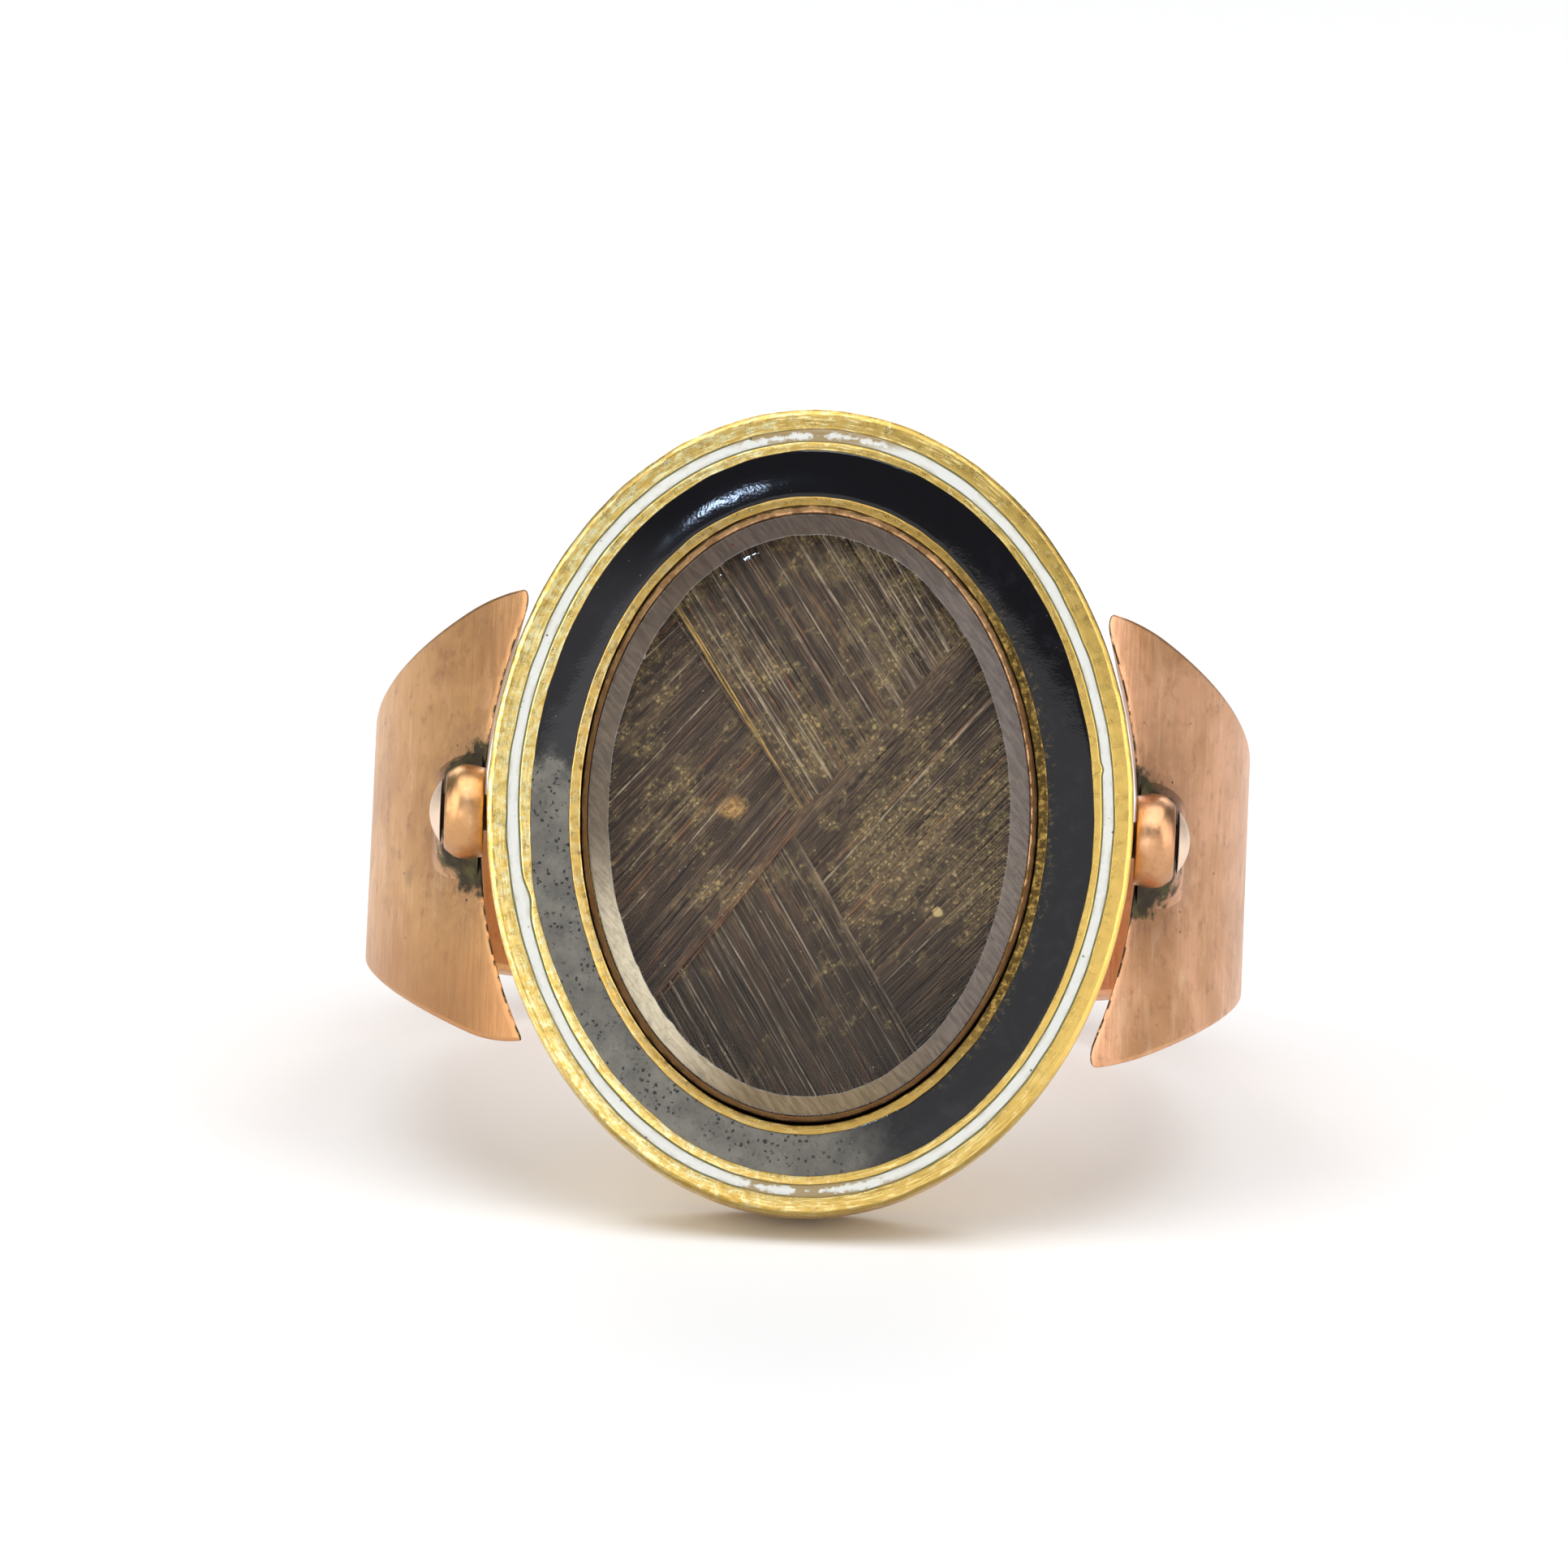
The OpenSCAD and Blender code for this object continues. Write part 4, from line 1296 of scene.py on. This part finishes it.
class RING_OT_crystal(Operator):
    """Add the oval crystal with its bevel and flat table"""

    bl_idname = "mourning_ring.crystal"
    bl_label = "Crystal"

    def execute(self, context):
        ring = context.scene.mourning_ring
        p = plan(ring)
        table = p.face_z + ring.crystal.bevel_h
        corners = [
            # inset, height, rounding
            (p.glass_in + 3.2 * MM, p.glass_z, 0),
            (p.glass_in, p.glass_z, 0.02 * MM),
            (p.glass_in, p.face_z, 0.02 * MM),
            (p.table_in, table, 0.03 * MM),
            (p.table_in + 2.8 * MM, table, 0),
        ]
        made = head_shape(*sweep_oval(corners, 2, 0.5 * MM, ring, p, fall=0.0), ring)
        put("oval_crystal", made, crystal_glass(ring, p), "head", "crystal_glass", "crystal")
        return {"FINISHED"}


def unit(degrees):
    """The direction at an angle, counted from the right towards the top."""
    return np.array([math.cos(math.radians(degrees)), math.sin(math.radians(degrees))])


def clip_to_oval(base, way, a, b):
    """Where lines base + t way enter and leave the oval (x / a)^2 + (y / b)^2 = 1, and whether they do.

    With m and n for base and way over (a, b), t solves n.n t^2 + 2 m.n t + m.m - 1 = 0.
    """
    scale = np.array([1 / a, 1 / b])
    m, n = base * scale, way * scale
    square, cross, rest = (n * n).sum(-1), (m * n).sum(-1), (m * m).sum(-1) - 1
    root = np.sqrt(np.clip(cross**2 - square * rest, 0, None))
    return (-cross - root) / square, (-cross + root) / square, cross**2 > square * rest


def strip_of_hair(ring, p, row, covering, draw):
    """One strip of the plait: strands side by side from its open edge, cut by the oval and the next strip.

    Each strand is a five-sided tube along a straight line with a slight wave, sunk where the next strip
    covers it.
    """
    start_x, start_y, over, fan, bias, edge_share, edge_tone, first_tone = row
    strip_w, under, shortest = 7.4 * MM, 0.35 * MM, 0.25 * MM
    steps, sides = 10, 5
    count = ring.crystal.strands
    border = p.glass_in + 0.03 * MM
    middle = -np.array([ring.crystal.left, ring.crystal.low])
    own, cover = np.array([start_x, start_y]) * MM, np.array(covering[:2]) * MM
    along = unit(over)
    normal = np.array([along[1], -along[0]])
    spread = (np.arange(count) + draw.uniform(-0.3, 0.3, count)) / count
    spread[0] = 0.0
    angle = np.radians(over + fan * spread**1.2 + draw.normal(0, 0.7, count))
    way = np.stack([np.cos(angle), np.sin(angle)], -1)
    base = own + normal * (spread * strip_w)[:, None]
    start, stop, meets = clip_to_oval(base - middle, way, p.a - border, p.b - border)
    lower = unit(covering[2])
    inward = np.array([-lower[1], lower[0]])
    depth = (base - cover) @ inward
    slope = way @ inward
    cut = (-under - depth) / slope
    start = np.where(slope > 0, np.maximum(start, cut), start)
    stop = np.where(slope < 0, np.minimum(stop, cut), stop)
    keep = meets & (stop - start > shortest)
    base, way, start, stop, spread = base[keep], way[keep], start[keep], stop[keep], spread[keep]
    n = len(base)
    t = start[:, None] + (stop - start)[:, None] * np.linspace(0, 1, steps)
    centres = base[:, None] + way[:, None] * t[..., None]
    across = np.stack([-way[:, 1], way[:, 0]], -1)
    phase = draw.uniform(0, 2 * math.pi, (n, 1))
    length = draw.uniform(2.5, 6.0, (n, 1)) * MM
    sway = draw.normal(0, 0.012, (n, 1)) * MM * np.sin(2 * math.pi * t / length + phase)
    centres = centres + across[:, None] * sway[..., None]
    covered = (centres - cover) @ inward
    dip = np.clip(covered / (0.9 * MM), -0.3, 1)
    swell = np.exp(-spread[:, None] * strip_w / (0.5 * MM))
    layer = draw.uniform(0, 1, (n, 1))
    z = p.hair_z + (0.085 + 0.035 * dip + 0.02 * swell * np.clip(dip, 0, 1) + 0.028 * layer) * MM
    thick = ring.crystal.strand_w / 2 * draw.uniform(0.55, 1.1, (n, 1))
    tip = np.ones(steps)
    tip[[0, -1]] = 0.35
    phi = math.pi / 2 + 2 * math.pi / sides * np.arange(sides)
    sideways = across[:, None, None] * (np.cos(phi) * (thick * tip)[..., None])[..., None]
    upward = np.sin(phi) * (0.62 * thick * tip)[..., None]
    xy = centres[:, :, None] + sideways
    points = np.concatenate([xy, (z[..., None] + upward)[..., None]], -1)
    kind = draw.beta(1.4, 2.4, n) * 0.88
    kind = np.where(draw.uniform(0, 1, n) < 0.08 + bias, draw.uniform(0.84, 0.93, n), kind)
    kind = np.where(spread < edge_share, edge_tone + draw.uniform(-0.05, 0.0, n), kind)
    kind = np.where(spread < 0.006, first_tone, kind)
    seeds = draw.uniform(0, 50, n)
    told = (kind[:, None, None], (t / MM)[:, :, None], seeds[:, None, None], phi)
    sweep = np.stack(np.broadcast_arrays(*told)[:3], -1).reshape(-1, 3)
    quads = grid_quads(steps, sides, False, True)
    ends = np.array([np.arange(sides)[::-1], np.arange(sides) + (steps - 1) * sides])
    offset = (np.arange(n) * steps * sides)[:, None, None]
    faces = [(quads + offset).reshape(-1, 4), (ends + offset).reshape(-1, sides)]
    points = points.reshape(-1, 3)
    return shape(points, lay_head(points, ring), faces, sweep)


class RING_OT_hair(Operator):
    """Add the panel of plaited hair under the crystal"""

    bl_idname = "mourning_ring.hair"
    bl_label = "Hair panel"

    def execute(self, context):
        ring = context.scene.mourning_ring
        p = plan(ring)
        draw = np.random.default_rng(7)
        strips = [
            # a point on the open edge in mm, the edge's direction, how far the strands fan out in degrees,
            # a change to the share of pale ones, the edge's share of them, its tone and the first one's
            (-0.05, -0.12, 123.3, -1.5, 0.08, 0.012, 0.66, 1.0),
            (-0.06, 0.14, 48.5, -6.0, -0.03, 0.040, 0.62, 0.64),
            (-0.24, -0.66, -60.0, 2.5, 0.03, 0.010, 0.66, 0.84),
            (-0.15, -0.21, 231.6, -11.0, -0.05, 0.024, 0.68, 0.75),
        ]
        covers = strips[1:] + strips[:1]
        shapes = [strip_of_hair(ring, p, row, cover, draw) for row, cover in zip(strips, covers)]
        backing_z = p.hair_z + 0.07 * MM
        corners = [
            # inset, height, rounding
            (p.glass_in + 3.0 * MM, p.hair_z, 0),
            (p.glass_in, p.hair_z, 0.01 * MM),
            (p.glass_in, backing_z, 0.01 * MM),
            (p.glass_in + 3.0 * MM, backing_z, 0),
        ]
        rows, sweep = sweep_oval(corners, 1, 1.0 * MM, ring, p, fall=0.0)
        backing = head_shape(rows, sweep * 0, ring)
        put("hair_plait", join(shapes + [backing]), plaited_hair(ring, p), "head", "hair", "hair_panel")
        return {"FINISHED"}


LAMPS = [
    # name, azimuth, elevation, distance, width, height, radiance, colour where it isn't white
    ("top_light", 0, 80, 0.60, 0.75, 0.60, 2.1),
    ("left_light", -62, 22, 0.60, 0.50, 0.55, 2.4),
    ("right_light", 62, 24, 0.60, 0.48, 0.52, 2.0),
    ("back_light", 180, 32, 0.80, 0.90, 0.40, 2.2),
    ("low_light", -20, 9, 0.50, 0.18, 0.10, 3.0),
    ("front_light", 7, 14.5, 0.50, 0.36, 0.25, 0.85),
    ("knuckle_light", 4, 50, 0.50, 0.09, 0.05, 5.5),
    ("spark_light", -3.4, 31.6, 0.50, 0.006, 0.006, 200.0, (0.55, 0.74, 1.0)),
]


def softbox(name, azimuth, elevation, distance, width, height, radiance, colour=(1, 1, 1)):
    """A soft lamp round the ring: azimuth 0 is before it and 90 to its right. Radiance sets its power."""
    lamp = bpy.data.lights.new(name, "AREA")
    lamp.shape = "RECTANGLE"
    lamp.size, lamp.size_y = width, height
    lamp.energy = radiance * math.pi * width * height
    lamp.color = colour
    made = bpy.data.objects.new(name, lamp)
    az, el = math.radians(azimuth), math.radians(elevation)
    way = Vector((math.sin(az) * math.cos(el), -math.cos(az) * math.cos(el), math.sin(el)))
    made.location = way * distance
    made.rotation_mode = "QUATERNION"
    made.rotation_quaternion = (-way).to_track_quat("-Z", "Y")
    made.visible_camera = False
    bpy.context.scene.collection.objects.link(made)


class RING_OT_stage(Operator):
    """Add the pale floor, the soft lamps and the camera"""

    bl_idname = "mourning_ring.stage"
    bl_label = "Stage"

    def execute(self, context):
        scene = context.scene
        ring = scene.mourning_ring
        stage = ring.stage
        p = plan(ring)
        self.add_floor(stage)
        for lamp in LAMPS:
            softbox(*lamp)
        world = bpy.data.worlds.new("studio")
        scene.world = world
        world.use_nodes = True
        sky = world.node_tree.nodes["Background"].inputs
        sky["Color"].default_value = (0.96, 0.97, 1.0, 1)
        sky["Strength"].default_value = 0.12
        scene.view_settings.view_transform = "Standard"
        self.add_camera(scene, ring, p)
        return {"FINISHED"}

    def add_floor(self, stage):
        """A flat disc that curves up into a wall: no height inside its radius, then a quarter circle."""
        bend = 0.4
        angle = np.radians(np.linspace(0, 90, 16))
        radius = np.concatenate([[0.02, 0.1, 0.4], stage.floor_r + bend * np.sin(angle)])
        height = np.concatenate([[0, 0, 0], bend * (1 - np.cos(angle))])
        around = 96
        phi = np.linspace(0, 2 * math.pi, around, endpoint=False)
        x, y = radius[:, None] * np.cos(phi), radius[:, None] * np.sin(phi)
        rows = np.stack(np.broadcast_arrays(x, y, height[:, None]), -1)
        points = np.concatenate([rows.reshape(-1, 3), np.zeros((1, 3))])
        here = np.arange(around)
        middle = np.stack([here, (here + 1) % around, np.full(around, len(points) - 1)], -1)
        quads = grid_quads(len(radius), around, False, True)
        mesh = bpy.data.meshes.new("floor")
        mesh.from_pydata(points.tolist(), [], quads[:, ::-1].tolist() + middle.tolist())
        f = Finish("pale_floor", Roughness=0.6, Specular_IOR_Level=0.2)
        f.place = f.add("ShaderNodeTexCoord").outputs["Object"]
        f.dress(Base_Color=f.blend(f.noise(4.0, 2), 0.90, (0.88, 0.88, 0.885)))
        mesh.materials.append(f.material)
        floor = bpy.data.objects.new("floor", mesh)
        bpy.context.scene.collection.objects.link(floor)

    def add_camera(self, scene, ring, p):
        """The camera stands below the head's normal and is rolled, so that the ring leans as in the photo."""
        stage = ring.stage
        elevation = TILT - stage.below
        way = Vector((0.0, -math.cos(elevation), math.sin(elevation)))
        face = Vector(PIVOT + UP * ring.head.rise - BACK * p.face_z)
        lens = bpy.data.cameras.new("camera")
        lens.sensor_width = 36.0
        lens.lens = lens.sensor_width * stage.distance / stage.framed
        lens.shift_x = -stage.right
        lens.shift_y = stage.low
        lens.clip_start, lens.clip_end = 0.01, 20.0
        camera = bpy.data.objects.new("camera", lens)
        camera.location = face + way * stage.distance
        camera.rotation_mode = "QUATERNION"
        camera.rotation_quaternion = (-way).to_track_quat("-Z", "Y") @ Quaternion((0, 0, 1), stage.roll)
        scene.collection.objects.link(camera)
        scene.camera = camera


class RING_PT_panel(Panel):
    """The ring's sizes, colours and pieces"""

    bl_idname = "RING_PT_panel"
    bl_label = "Mourning Ring"
    bl_space_type = "VIEW_3D"
    bl_region_type = "UI"
    bl_category = "Mourning Ring"

    def draw(self, context):
        layout = self.layout
        ring = context.scene.mourning_ring
        for operator in OPERATORS:
            layout.operator(operator.bl_idname)
        for name in ("band", "head", "enamel", "crystal", "pivot", "tones", "stage"):
            box = layout.box()
            box.label(text=name.capitalize())
            group = getattr(ring, name)
            for key in group.__annotations__:
                box.prop(group, key)


OPERATORS = [RING_OT_band, RING_OT_pins, RING_OT_case, RING_OT_case_back, RING_OT_enamels,
             RING_OT_collet, RING_OT_crystal, RING_OT_hair, RING_OT_stage]
GROUPS = [BandSizes, HeadSizes, EnamelSizes, CrystalSizes, PivotSizes, FinishTones, StageSizes, RingSettings]


def register():
    for made in GROUPS + OPERATORS + [RING_PT_panel]:
        bpy.utils.register_class(made)
    bpy.types.Scene.mourning_ring = PointerProperty(type=RingSettings)


def unregister():
    del bpy.types.Scene.mourning_ring
    for made in reversed(GROUPS + OPERATORS + [RING_PT_panel]):
        bpy.utils.unregister_class(made)


def main():
    register()
    bpy.ops.mourning_ring.band()
    bpy.ops.mourning_ring.pins()
    bpy.ops.mourning_ring.case()
    bpy.ops.mourning_ring.case_back()
    bpy.ops.mourning_ring.enamels()
    bpy.ops.mourning_ring.collet()
    bpy.ops.mourning_ring.crystal()
    bpy.ops.mourning_ring.hair()
    bpy.ops.mourning_ring.stage()


if __name__ == "__main__":
    main()
